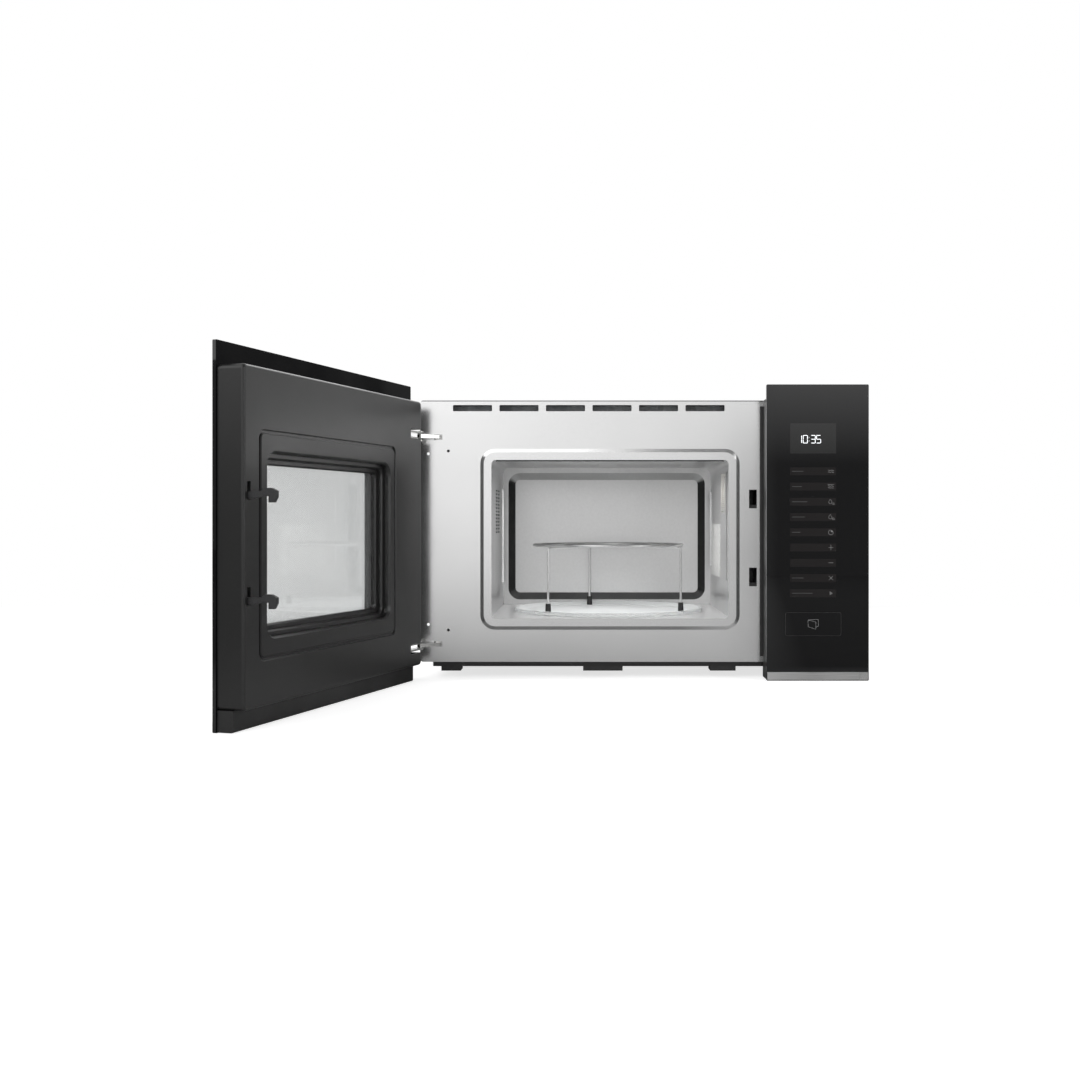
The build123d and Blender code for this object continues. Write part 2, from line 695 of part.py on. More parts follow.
rollers = []
for turn in ROLLER_TURNS:
    radial = (cos(radians(turn)), sin(radians(turn)), 0)
    start = (ROLLER_TRACK_R - ROLLER_W / 2) * Vector(radial) + Vector(0, TABLE_Y, ROLLER_Z)
    with BuildPart() as roller:
        with BuildSketch(Plane(origin=start, x_dir=(0, 0, 1), z_dir=radial)):
            Circle(ROLLER_R)
            Circle(STUB_R + ROLLER_GAP, mode=Mode.SUBTRACT)
        extrude(amount=ROLLER_W)
    rollers.append(roller)

with BuildPart() as turntable_plate:
    rim_r = TABLE_D / 2
    with BuildSketch(TABLE_SECTION):
        with BuildLine():
            Polyline(
                (0, TABLE_UNDERSIDE),
                (rim_r - TABLE_RIM_W, TABLE_UNDERSIDE),
                (rim_r - TABLE_LIP_W, TABLE_UNDERSIDE + TABLE_RIM_H - TABLE_T),
                (rim_r, TABLE_UNDERSIDE + TABLE_RIM_H - TABLE_T),
                (rim_r, TABLE_UNDERSIDE + TABLE_RIM_H),
                (rim_r - TABLE_LIP_W, TABLE_UNDERSIDE + TABLE_RIM_H),
                (rim_r - TABLE_RIM_W - TABLE_T / 2, TABLE_TOP),
                (0, TABLE_TOP),
                close=True,
            )
        make_face()
    revolve(axis=TABLE_AXIS)
    with BuildSketch(Plane.XY.offset(TABLE_UNDERSIDE)):
        with Locations((0, TABLE_Y)):
            with PolarLocations(LOBE_R - BOSS_R, LOBE_COUNT, BOSS_TURN):
                Circle(BOSS_R)
    extrude(amount=-TABLE_T)

RACK_Z = TABLE_TOP + RACK_H - RACK_WIRE_R
SPOKE_Z = RACK_Z - RACK_WIRE_R - LEG_WIRE_R + RACK_WELD
LEG_R = RACK_R + RACK_BEND


def rack_point(turn, radius, height):
    """Point of the rack at an angle about the turntable's axis."""
    return Vector(radius * cos(radians(turn)), TABLE_Y + radius * sin(radians(turn)), height)


with BuildPart() as grill_rack:
    for ring_r in (RACK_R, RACK_INNER_R):
        with BuildSketch(TABLE_SECTION):
            with Locations((ring_r, RACK_Z)):
                Circle(RACK_WIRE_R)
        revolve(axis=TABLE_AXIS)
    for turn in RACK_LEG_ANGLES:
        foot = rack_point(turn, LEG_R, TABLE_TOP + BOOT_FLOOR)
        with BuildLine() as leg_wire:
            FilletPolyline(
                foot,
                rack_point(turn, LEG_R, SPOKE_Z),
                rack_point(turn, RACK_INNER_R - RACK_BEND, SPOKE_Z),
                radius=RACK_BEND,
            )
        with BuildSketch(Plane(origin=foot)):
            Circle(LEG_WIRE_R)
        sweep(path=leg_wire.wires()[0])

with BuildPart() as rack_boots:
    for turn in RACK_LEG_ANGLES:
        with BuildSketch(Plane(origin=rack_point(turn, LEG_R, TABLE_TOP))):
            Circle(BOOT_R)
        extrude(amount=BOOT_H, taper=BOOT_TAPER)
        with BuildSketch(Plane(origin=rack_point(turn, LEG_R, TABLE_TOP + BOOT_FLOOR))):
            Circle(LEG_WIRE_R + BOOT_FIT)
        extrude(amount=BOOT_H - BOOT_FLOOR, mode=Mode.SUBTRACT)

# Hinge arms: flat plated arms welded to a foot that is screwed behind the front plate
hinge_arms = []
for z in ARM_Z:
    knee_y = PLATE_FACE_Y - ARM_W / 2
    run_x = ARM_ROOT_X - HINGE_X
    run_y = knee_y - HINGE_Y
    lean = degrees(atan2(run_y, run_x))
    foot_left = ARM_ROOT_X - ARM_W / 2
    ends = (z - SCREW_SIDE[z] * FOOT_PLATE_SHORT, z + SCREW_SIDE[z] * FOOT_PLATE_LONG)
    with BuildPart() as hinge_arm:
        with BuildSketch(Plane.XY.offset(z - ARM_T / 2)):
            with Locations(Location((HINGE_X + run_x / 2, HINGE_Y + run_y / 2), lean)):
                SlotCenterToCenter(hypot(run_x, run_y), ARM_W)
            span(foot_left, foot_left + ARM_W, knee_y, ARM_ROOT_L)
            with Locations((HINGE_X, HINGE_Y)):
                Circle(PIN_R + PIN_CLEARANCE, mode=Mode.SUBTRACT)
        extrude(amount=ARM_T)
        with BuildSketch(front_plane(0)):
            span(foot_left, foot_left + FOOT_PLATE_W, min(ends), max(ends), PLATE_R)
            with Locations((ARM_ROOT_X + HINGE_SCREW_FROM_ROOT, z + SCREW_SIDE[z] * HINGE_SCREW_FROM_ARM)):
                Circle(FIXING_HOLE_R, mode=Mode.SUBTRACT)
        extrude(amount=-FOOT_PLATE_T)
    hinge_arms.append(hinge_arm)
hinge_arm_lower, hinge_arm_upper = hinge_arms

# Door: black glass bonded to a pressed frame, with a terraced window, a foot ledge and hinge forks
DOOR_NORMAL = Axis((0, 0, 0), door_plane(0).z_dir)

with BuildPart() as door_glass:
    with BuildSketch(door_plane(0)):
        span(0, DOOR_W, 0, FRONT_H, GLASS_R)
    extrude(amount=-GLASS_T)

with BuildPart() as door_trim_strip:
    with BuildSketch(door_plane(0)):
        span(STRIP_INSET, DOOR_W - STRIP_INSET, STRIP_INSET, STRIP_INSET + STRIP_H)
    extrude(amount=STRIP_T)

with BuildPart() as door_frame:
    with BuildSketch(door_plane(GLASS_T)):
        span(FRAME_HINGE_INSET, FRAME_RIGHT, FRAME_FOOT, FRAME_TOP, FRAME_R)
    extrude(amount=GLASS_T - DOOR_T)
    fillet(door_frame.faces().sort_by(DOOR_NORMAL)[0].edges(), FRAME_EDGE_R)
    with BuildSketch(door_plane(GLASS_T)):
        left = FRAME_HINGE_INSET + FRAME_WALL
        foot = FRAME_FOOT + FRAME_WALL
        span(left, FRAME_RIGHT - FRAME_WALL, foot, FRAME_TOP - FRAME_WALL, FRAME_R - FRAME_WALL)
    extrude(amount=GLASS_T - FRAME_SKIN, mode=Mode.SUBTRACT)
    with BuildSketch(door_plane(DOOR_T)):
        centred(WINDOW_U, WINDOW_V, RECESS_W, RECESS_H, RECESS_R)
        for z in LATCH_Z:
            slot_foot = z - LATCH_SLOT_H / 2 + HOOK_BARB - FRONT_BOTTOM
            slot_top = slot_foot + HOOK_H + HOOK_LIFT + 2 * HOOK_SLOT_GAP
            half = HOOK_T / 2 + HOOK_SLOT_GAP
            span(HOOK_U - half, HOOK_U + half, slot_foot, slot_top)
    extrude(amount=FRAME_WALL, mode=Mode.SUBTRACT)
    with BuildSketch(door_plane(DOOR_T)):
        edge_w = RECESS_W + 2 * RECESS_BREAK
        edge_h = RECESS_H + 2 * RECESS_BREAK
        centred(WINDOW_U, WINDOW_V, edge_w, edge_h, RECESS_R + RECESS_BREAK)
    extrude(amount=RECESS_BREAK, taper=BREAK_TAPER, mode=Mode.SUBTRACT)
    with BuildSketch(door_plane(DOOR_T)):
        centred(WINDOW_U, WINDOW_V, GROOVE_W, GROOVE_H, GROOVE_R)
        inner_w = GROOVE_W - 2 * GROOVE_LINE
        inner_h = GROOVE_H - 2 * GROOVE_LINE
        centred(WINDOW_U, WINDOW_V, inner_w, inner_h, GROOVE_R - GROOVE_LINE, Mode.SUBTRACT)
    extrude(amount=GROOVE_BREAK, taper=BREAK_TAPER, mode=Mode.SUBTRACT)
    with BuildSketch(door_plane(DOOR_T)):
        edge = 2 * GROOVE_BREAK
        centred(WINDOW_U, WINDOW_V, GROOVE_W - edge, GROOVE_H - edge, GROOVE_R - GROOVE_BREAK)
        corner = GROOVE_R - GROOVE_LINE + GROOVE_BREAK
        centred(WINDOW_U, WINDOW_V, inner_w + edge, inner_h + edge, corner, Mode.SUBTRACT)
    extrude(amount=GROOVE_DEPTH, taper=GROOVE_TAPER, mode=Mode.SUBTRACT)
    for z in ARM_Z:
        half = ARM_T / 2 + PRONG_GAP + PRONG_T + NOTCH_GAP
        with BuildSketch(door_plane(DOOR_T)):
            notch_v = z - FRONT_BOTTOM
            notch_left = FRAME_HINGE_INSET - NOTCH_L
            span(notch_left, FRAME_HINGE_INSET + NOTCH_L, notch_v - half, notch_v + half, NOTCH_R)
        extrude(amount=FRAME_WALL, mode=Mode.SUBTRACT)
        with BuildSketch(door_plane(DOOR_T)):
            span(notch_left, FRAME_HINGE_INSET + 2 * FRAME_WALL, notch_v - half, notch_v + half)
        extrude(amount=DOOR_T - HINGE_DEPTH + PRONG_W / 2 + NOTCH_GAP, mode=Mode.SUBTRACT)

with BuildPart() as door_window_bezel:
    with BuildSketch(door_plane(FRAME_SKIN)):
        bezel_w = RECESS_W + 2 * BEZEL_WALL
        bezel_h = RECESS_H + 2 * BEZEL_WALL
        centred(WINDOW_U, WINDOW_V, bezel_w, bezel_h, RECESS_R + BEZEL_WALL)
    extrude(amount=RECESS_STEPS * STEP_D)
    for step in range(RECESS_STEPS):
        with BuildSketch(door_plane(FRAME_SKIN - step * STEP_D)):
            shrink = 2 * step * STEP_W
            centred(WINDOW_U, WINDOW_V, RECESS_W - shrink, RECESS_H - shrink, RECESS_R / (step + 1))
        extrude(amount=STEP_D, mode=Mode.SUBTRACT)
    for step in range(1, RECESS_STEPS):
        with BuildSketch(door_plane(FRAME_SKIN - step * STEP_D)):
            shrink = 2 * step * STEP_W - 2 * STEP_BREAK
            corner = RECESS_R / (step + 1) + STEP_BREAK
            centred(WINDOW_U, WINDOW_V, RECESS_W - shrink, RECESS_H - shrink, corner)
        extrude(amount=STEP_BREAK, taper=BREAK_TAPER, mode=Mode.SUBTRACT)

with BuildPart() as door_window_pane:
    with BuildSketch(door_plane(BEZEL_REAR)):
        centred(WINDOW_U, WINDOW_V, bezel_w, bezel_h, RECESS_R + BEZEL_WALL)
    extrude(amount=PANE_T)

with BuildPart() as door_window_screen:
    with BuildSketch(door_plane(BEZEL_REAR - PANE_T)):
        centred(WINDOW_U, WINDOW_V, bezel_w, bezel_h, RECESS_R + BEZEL_WALL)
    extrude(amount=SCREEN_T)

with BuildPart() as door_bottom_ledge:
    with BuildSketch(door_plane(GLASS_T)):
        span(FRAME_HINGE_INSET, FRAME_RIGHT, LEDGE_FOOT, FRAME_FOOT)
    extrude(amount=-LEDGE_T)
    fillet(door_bottom_ledge.faces().sort_by(DOOR_NORMAL)[0].edges().sort_by(Axis.Z)[0], LEDGE_R)

hinge_forks = []
for z in ARM_Z:
    prong_foot = ARM_T / 2 + PRONG_GAP
    bridge_u = FRAME_HINGE_INSET + NOTCH_L + NOTCH_GAP
    with BuildPart() as hinge_fork:
        for level in (z + prong_foot, z - prong_foot - PRONG_T):
            with BuildSketch(door_level(level)):
                with Locations((HINGE_INSET, HINGE_DEPTH)):
                    Circle(PRONG_W / 2)
                half = PRONG_W / 2
                span(HINGE_INSET, bridge_u, HINGE_DEPTH - half, HINGE_DEPTH + half)
                with Locations((HINGE_INSET, HINGE_DEPTH)):
                    Circle(PIN_R + PIN_FIT, mode=Mode.SUBTRACT)
            extrude(amount=PRONG_T)
        bridge = prong_foot + PRONG_T + BRIDGE_EAR
        with BuildSketch(door_level(z - bridge)):
            span(bridge_u, bridge_u + BRIDGE_T, HINGE_DEPTH - half, FRAME_SKIN)
        extrude(amount=2 * bridge)
    hinge_forks.append(hinge_fork)
hinge_fork_lower, hinge_fork_upper = hinge_forks

with BuildPart() as hinge_pins:
    for z in ARM_Z:
        reach = ARM_T / 2 + PRONG_GAP + PRONG_T
        with BuildSketch(Plane.XY.offset(z - reach)):
            with Locations((HINGE_X, HINGE_Y)):
                Circle(PIN_R)
        extrude(amount=2 * reach)
        for level in (z + reach, z - reach - PIN_HEAD_T):
            with BuildSketch(Plane.XY.offset(level)):
                with Locations((HINGE_X, HINGE_Y)):
                    Circle(PIN_HEAD_R)
            extrude(amount=PIN_HEAD_T)

# Latch: two hooks on one bar that lifts in the door, and the board behind the plate that catches them
with BuildPart() as latch_hooks:
    tip = DOOR_T + HOOK_REACH
    root_end = DOOR_T + HOOK_ROOT_L
    bar_front = FRAME_SKIN - RUNNING_GAP - BAR_W
    hook_feet = [z - LATCH_SLOT_H / 2 + HOOK_BARB + HOOK_SLOT_GAP for z in LATCH_Z]
    with BuildSketch(door_section(HOOK_U - HOOK_T / 2)):
        for low in hook_feet:
            with BuildLine():
                Polyline(
                    (bar_front, low),
                    (root_end, low),
                    (root_end + HOOK_NECK_L, low + HOOK_NECK_RISE),
                    (tip - HOOK_BARB_L, low + HOOK_NECK_RISE),
                    (tip - HOOK_BARB_L, low - HOOK_BARB),
                    (tip - HOOK_NOSE, low - HOOK_BARB),
                    (tip, low + HOOK_NOSE / 2),
                    (tip, low + HOOK_H - HOOK_NOSE),
                    (tip - 2 * HOOK_NOSE, low + HOOK_H),
                    (tip - HOOK_HEAD_L, low + HOOK_H),
                    (root_end + HOOK_NECK_L, low + HOOK_ROOT_H),
                    (bar_front, low + HOOK_ROOT_H),
                    close=True,
                )
            make_face()
        span(bar_front, bar_front + BAR_W, hook_feet[0] - BAR_END, hook_feet[1] + HOOK_H + BAR_END)
    extrude(amount=HOOK_T)

with BuildPart() as latch_board:
    room = LATCH_SLOT_W / 2 + LATCH_ROOM
    board_foot = LATCH_Z[0] - LATCH_BOARD_MARGIN
    board_h = LATCH_Z[1] - LATCH_Z[0] + 2 * LATCH_BOARD_MARGIN
    finger_top = hook_feet[0] - HOOK_BARB - RUNNING_GAP
    catch_end = HOOK_TIP_Y - HOOK_BARB_L - RUNNING_GAP
    board_right = LATCH_X + room + LATCH_WALL
    with BuildSketch(Plane.XY.offset(board_foot)):
        span(LATCH_X - room - LATCH_WALL, board_right, 0, LATCH_BOARD_DEPTH)
        flange = room + LATCH_WALL + LATCH_FLANGE
        span(LATCH_X - flange, LATCH_X + flange, 0, LATCH_WALL)
        span(LATCH_X - room, LATCH_X + room, 0, LATCH_BOARD_DEPTH - LATCH_WALL, mode=Mode.SUBTRACT)
    extrude(amount=board_h)
    for low in hook_feet:
        with BuildSketch(Plane.XY.offset(low - RUNNING_GAP)):
            span(LATCH_X - room, LATCH_X + room, LATCH_WALL, catch_end)
        extrude(amount=-CATCH_H)
    with BuildSketch(side_plane(board_right)):
        room_y = FINGER_W / 2 + FINGER_ROOM
        finger_y = HOOK_TIP_Y - HOOK_BARB_L / 2
        floor_z = finger_top - FINGER_T - FINGER_ROOM
        span(finger_y - room_y, finger_y + room_y, floor_z, finger_top + HOOK_LIFT + FINGER_ROOM)
    extrude(amount=-LATCH_WALL, mode=Mode.SUBTRACT)
    with BuildSketch(front_plane(LATCH_BOARD_DEPTH)):
        for z in (LATCH_Z[0], (LATCH_Z[0] + LATCH_Z[1]) / 2, LATCH_Z[1]):
            with Locations((LATCH_X, z)):
                Circle(PLUNGER_R + PLUNGER_CLEARANCE)
    extrude(amount=LATCH_WALL, mode=Mode.SUBTRACT)

with BuildPart() as door_switches:
    for z in (LATCH_Z[0], (LATCH_Z[0] + LATCH_Z[1]) / 2, LATCH_Z[1]):
        with BuildSketch(front_plane(LATCH_BOARD_DEPTH)):
            centred(LATCH_X, z, SWITCH_T, SWITCH_L, PLUNGER_R)
        extrude(amount=-SWITCH_H)
        with BuildSketch(front_plane(LATCH_BOARD_DEPTH)):
            with Locations((LATCH_X, z)):
                Circle(PLUNGER_R)
        extrude(amount=PLUNGER_L)

# Door button: its pad fills a cut-out of the panel glass, its stem ends in a wedge that lifts the slider
WEDGE_SLOPE = HOOK_LIFT / BUTTON_TRAVEL
STEM_TOP = BUTTON_Z + STEM_H / 2
WEDGE_END = WEDGE_START + WEDGE_L

with BuildPart() as door_button:
    with BuildSketch(front_plane(GLASS_FRONT_Y)):
        centred(BUTTON_X, BUTTON_Z, BUTTON_W, BUTTON_H, BUTTON_R)
    extrude(amount=-GLASS_T)
    with BuildSketch(front_plane(GLASS_BACK_Y)):
        wide = BUTTON_W + 2 * BUTTON_FLANGE
        centred(BUTTON_X, BUTTON_Z, wide, BUTTON_H + 2 * BUTTON_FLANGE, BUTTON_R)
    extrude(amount=-BUTTON_FLANGE_T)
    with BuildSketch(side_plane(STEM_X - STEM_W / 2)):
        with BuildLine():
            Polyline(
                (GLASS_BACK_Y, STEM_TOP - STEM_H),
                (WEDGE_END, STEM_TOP - STEM_H),
                (WEDGE_END, STEM_TOP - WEDGE_SLOPE * WEDGE_L),
                (WEDGE_START, STEM_TOP),
                (GLASS_BACK_Y, STEM_TOP),
                close=True,
            )
        make_face()
    extrude(amount=STEM_W)

with BuildPart() as release_slider:
    slider_left = board_right + RUNNING_GAP
    wedge_gap = RUNNING_GAP * hypot(1, WEDGE_SLOPE)
    toe = WEDGE_START + RUNNING_GAP
    foot_top = STEM_TOP + FOOT_RISE
    with BuildSketch(side_plane(slider_left)):
        with BuildLine():
            Polyline(
                (toe, STEM_TOP - WEDGE_SLOPE * (toe - WEDGE_START) + wedge_gap),
                (WEDGE_END, STEM_TOP - WEDGE_SLOPE * WEDGE_L + wedge_gap),
                (WEDGE_END + SLIDER_REST, STEM_TOP - WEDGE_SLOPE * WEDGE_L + wedge_gap),
                (WEDGE_END + SLIDER_REST, foot_top),
                (toe, foot_top),
                close=True,
            )
        make_face()
    extrude(amount=STEM_X + STEM_W / 2 - slider_left)
    with BuildSketch(side_plane(slider_left)):
        span(toe, WEDGE_END + SLIDER_REST, foot_top, finger_top + HOOK_LIFT)
    extrude(amount=SLIDER_T)
    with BuildSketch(Plane.XY.offset(finger_top)):
        hook_left = FRONT_LEFT + HOOK_U - HOOK_T / 2
        span(hook_left, slider_left, finger_y - FINGER_W / 2, finger_y + FINGER_W / 2)
    extrude(amount=-FINGER_T)

# Control panel: glass, silver strip, tray-shaped housing, touch foil, display and control board
with BuildPart() as panel_glass:
    with BuildSketch(front_plane(GLASS_FRONT_Y)):
        span(PANEL_LEFT, FRONT_RIGHT, FRONT_BOTTOM, FRONT_TOP, GLASS_R)
        hole_w = BUTTON_W + 2 * PANEL_GAP
        hole_h = BUTTON_H + 2 * PANEL_GAP
        centred(BUTTON_X, BUTTON_Z, hole_w, hole_h, BUTTON_R + PANEL_GAP, Mode.SUBTRACT)
    extrude(amount=-GLASS_T)

with BuildPart() as panel_trim_strip:
    with BuildSketch(front_plane(GLASS_FRONT_Y)):
        strip_foot = FRONT_BOTTOM + STRIP_INSET
        span(PANEL_LEFT + STRIP_INSET, FRONT_RIGHT - STRIP_INSET, strip_foot, strip_foot + STRIP_H)
    extrude(amount=STRIP_T)

BOARD_Y = GLASS_BACK_Y + BOARD_SETBACK
BOARD_LEFT = PANEL_LEFT + BOARD_MARGIN
BOARD_RIGHT = FRONT_RIGHT - BOARD_MARGIN
BOARD_POSTS = [
    (x, z)
    for x in (BOARD_LEFT + POST_INSET, BOARD_RIGHT - POST_INSET)
    for z in (BOARD_BOTTOM + POST_INSET, BOARD_TOP - POST_INSET)
]

with BuildPart() as panel_housing:
    left = PANEL_LEFT + PANEL_GAP
    right = FRONT_RIGHT - PANEL_GAP
    foot = FRONT_BOTTOM + PANEL_GAP
    with BuildSketch(front_plane(PLATE_FACE_Y)):
        span(left, right, foot, HOUSING_TOP, GLASS_R)
    extrude(amount=PLATE_FACE_Y - GLASS_BACK_Y)
    with BuildSketch(front_plane(PLATE_FACE_Y - HOUSING_WALL)):
        span(left + HOUSING_WALL, right - HOUSING_WALL, foot + HOUSING_WALL, HOUSING_TOP - HOUSING_WALL)
    extrude(amount=PLATE_FACE_Y - HOUSING_WALL - GLASS_BACK_Y, mode=Mode.SUBTRACT)
    with BuildSketch(front_plane(PLATE_FACE_Y - HOUSING_WALL)):
        with Locations(*BOARD_POSTS):
            Circle(POST_R)
    extrude(amount=PLATE_FACE_Y - HOUSING_WALL - BOARD_Y - BOARD_T)
    with BuildSketch(front_plane(PLATE_FACE_Y)):
        span(left - HOUSING_FLANGE, left, PLATE_BOTTOM + POST_INSET, HOUSING_TOP - POST_INSET)
    extrude(amount=HOUSING_FLANGE_T)
    with BuildSketch(front_plane(PLATE_FACE_Y)):
        centred(STEM_X, BUTTON_Z, STEM_W + 2 * STEM_CLEARANCE, STEM_H + 2 * STEM_CLEARANCE)
    extrude(amount=HOUSING_WALL, mode=Mode.SUBTRACT)

with BuildPart() as touch_foil:
    with BuildSketch(front_plane(GLASS_BACK_Y)):
        keys_mid = KEY_LAST_Z + (KEY_COUNT - 1) * KEY_PITCH / 2
        centred(BUTTON_X, keys_mid, KEY_W + FOIL_MARGIN, KEY_COUNT * KEY_PITCH)
    extrude(amount=-FOIL_T)

with BuildPart() as display_module:
    with BuildSketch(front_plane(GLASS_BACK_Y)):
        centred(BUTTON_X, DISPLAY_Z, DISPLAY_W, DISPLAY_H, GLASS_R)
    extrude(amount=-BOARD_SETBACK)

with BuildPart() as control_board:
    with BuildSketch(front_plane(BOARD_Y)):
        span(BOARD_LEFT, BOARD_RIGHT, BOARD_BOTTOM, BOARD_TOP)
    extrude(amount=-BOARD_T)
    with BuildSketch(front_plane(BOARD_Y + BOARD_T)):
        with Locations((BUTTON_X, (BOARD_BOTTOM + BOARD_TOP) / 2)):
            with GridLocations(RELAY_PITCH, RELAY_PITCH, 2, RELAY_COUNT):
                Rectangle(RELAY_SIZE, RELAY_SIZE)
    extrude(amount=-RELAY_T)

# Body: folded outer wrap, tray-shaped base on feet, rear panel with louvres, and the cord's gland
with BuildPart() as outer_wrap:
    with BuildSketch(front_plane(0)):
        low = BASE_UNDERSIDE - PLATE_R
        span(BODY_LEFT, BODY_RIGHT, low, BODY_TOP, PLATE_R)
        span(INSIDE_LEFT, INSIDE_RIGHT, low, INSIDE_TOP, PLATE_R - WRAP_T, Mode.SUBTRACT)
        span(BODY_LEFT, BODY_RIGHT, low, BASE_UNDERSIDE, mode=Mode.SUBTRACT)
    extrude(amount=-BODY_DEPTH)
    with BuildSketch(side_plane(BODY_RIGHT)):
        with Locations((CORE_Y, FAN_Z)):
            with GridLocations(LOUVRE_L + LOUVRE_ROW, LOUVRE_ROW, 2, LOUVRE_ROWS):
                Rectangle(LOUVRE_L, LOUVRE_H)
    extrude(amount=-WRAP_T, mode=Mode.SUBTRACT)

with BuildPart() as base_plate:
    with BuildSketch(Plane.XY.offset(BASE_UNDERSIDE)):
        span(INSIDE_LEFT, INSIDE_RIGHT, 0, BODY_DEPTH)
    extrude(amount=BASE_FLANGE_H)
    with BuildSketch(Plane.XY.offset(BASE_TOP)):
        span(INSIDE_LEFT + BASE_T, INSIDE_RIGHT - BASE_T, BASE_T, BODY_DEPTH - BASE_T)
    extrude(amount=BASE_FLANGE_H - BASE_T, mode=Mode.SUBTRACT)
    with BuildSketch(Plane.XY.offset(BASE_UNDERSIDE)):
        with Locations((0, TABLE_Y)):
            Circle(MOTOR_R + LATCH_FLANGE)
        with Locations((CORE_X, CORE_Y + CORE_L + LOUVRE_ROW)):
            with GridLocations(LOUVRE_ROW, LOUVRE_L, LOUVRE_ROWS // 2, 1):
                Rectangle(LOUVRE_H, LOUVRE_L / 2)
    extrude(amount=BASE_T, mode=Mode.SUBTRACT)

with BuildPart() as feet:
    rear_y = BODY_DEPTH - REAR_FOOT_FROM_BACK
    with BuildSketch(Plane.XY):
        for x, width in FRONT_FEET:
            span(x - width / 2, x + width / 2, 0, FOOT_L)
        for x, width in REAR_FEET:
            span(x - width / 2, x + width / 2, rear_y - FOOT_L / 2, rear_y + FOOT_L / 2)
    extrude(amount=BASE_UNDERSIDE)

with BuildPart() as motor_access_cover:
    with BuildSketch(Plane.XY.offset(BASE_UNDERSIDE)):
        with Locations((0, TABLE_Y)):
            Circle(ACCESS_R)
    extrude(amount=-ACCESS_T)

with BuildPart() as rear_panel:
    with BuildSketch(front_plane(BODY_DEPTH)):
        span(BODY_LEFT, BODY_RIGHT, BASE_UNDERSIDE, BODY_TOP, PLATE_R)
        with Locations((FAN_X, FAN_Z), (-FAN_X / 2, FAN_Z)):
            with GridLocations(LOUVRE_L + LOUVRE_ROW, LOUVRE_ROW, 2, LOUVRE_ROWS):
                Rectangle(LOUVRE_L, LOUVRE_H, mode=Mode.SUBTRACT)
        with Locations((GLAND_X, GLAND_Z)):
            Circle(GLAND_R + GLAND_FIT, mode=Mode.SUBTRACT)
    extrude(amount=-WRAP_T)

with BuildPart() as cord_inlet:
    outside = BODY_DEPTH + WRAP_T
    with BuildSketch(front_plane(outside + GLAND_FLANGE_T)):
        with Locations((GLAND_X, GLAND_Z)):
            Circle(GLAND_R)
    extrude(amount=GLAND_L)
    with BuildSketch(front_plane(outside + GLAND_FLANGE_T)):
        with Locations((GLAND_X, GLAND_Z)):
            Circle(GLAND_FLANGE_R)
    extrude(amount=GLAND_FLANGE_T)
    with BuildSketch(front_plane(outside + GLAND_FLANGE_T)):
        with Locations((GLAND_X, GLAND_Z)):
            Circle(GLAND_BORE_R)
    extrude(amount=GLAND_L, mode=Mode.SUBTRACT)

with BuildPart() as exhaust_duct:
    duct_left = VENT_CENTRE_X - (VENT_COUNT - 1) * VENT_PITCH / 2 - VENT_L / 2 - DUCT_MARGIN
    duct_right = VENT_CENTRE_X + (VENT_COUNT - 1) * VENT_PITCH / 2 + VENT_L / 2 + DUCT_MARGIN
    with BuildSketch(Plane.XY.offset(INSIDE_TOP - DUCT_H)):
        span(duct_left, duct_right, 0, DUCT_L)
    extrude(amount=DUCT_H)
    with BuildSketch(Plane.XY.offset(INSIDE_TOP - DUCT_H + WALL_T)):
        span(duct_left + WALL_T, duct_right, 0, DUCT_L - WALL_T)
    extrude(amount=DUCT_H - WALL_T, mode=Mode.SUBTRACT)

# Microwave source: waveguide on the cavity's side, magnetron, transformer and capacitor
with BuildPart() as waveguide:
    half_l = PORT_L / 2 + GUIDE_MARGIN
    guide_foot = PORT_Z - PORT_H / 2 - GUIDE_MARGIN
    with BuildSketch(side_plane(CAVITY_OUTER_X)):
        span(PORT_Y - half_l, PORT_Y + half_l, guide_foot, GUIDE_TOP)
    extrude(amount=GUIDE_W)
    with BuildSketch(side_plane(CAVITY_OUTER_X)):
        in_l = half_l - WALL_T
        span(PORT_Y - in_l, PORT_Y + in_l, guide_foot + WALL_T, GUIDE_TOP - WALL_T)
    extrude(amount=GUIDE_W - WALL_T, mode=Mode.SUBTRACT)
    with BuildSketch(side_plane(GUIDE_RIGHT)):
        with Locations((PORT_Y, FEED_Z)):
            Circle(ANTENNA_R + ANTENNA_FIT)
    extrude(amount=-WALL_T, mode=Mode.SUBTRACT)

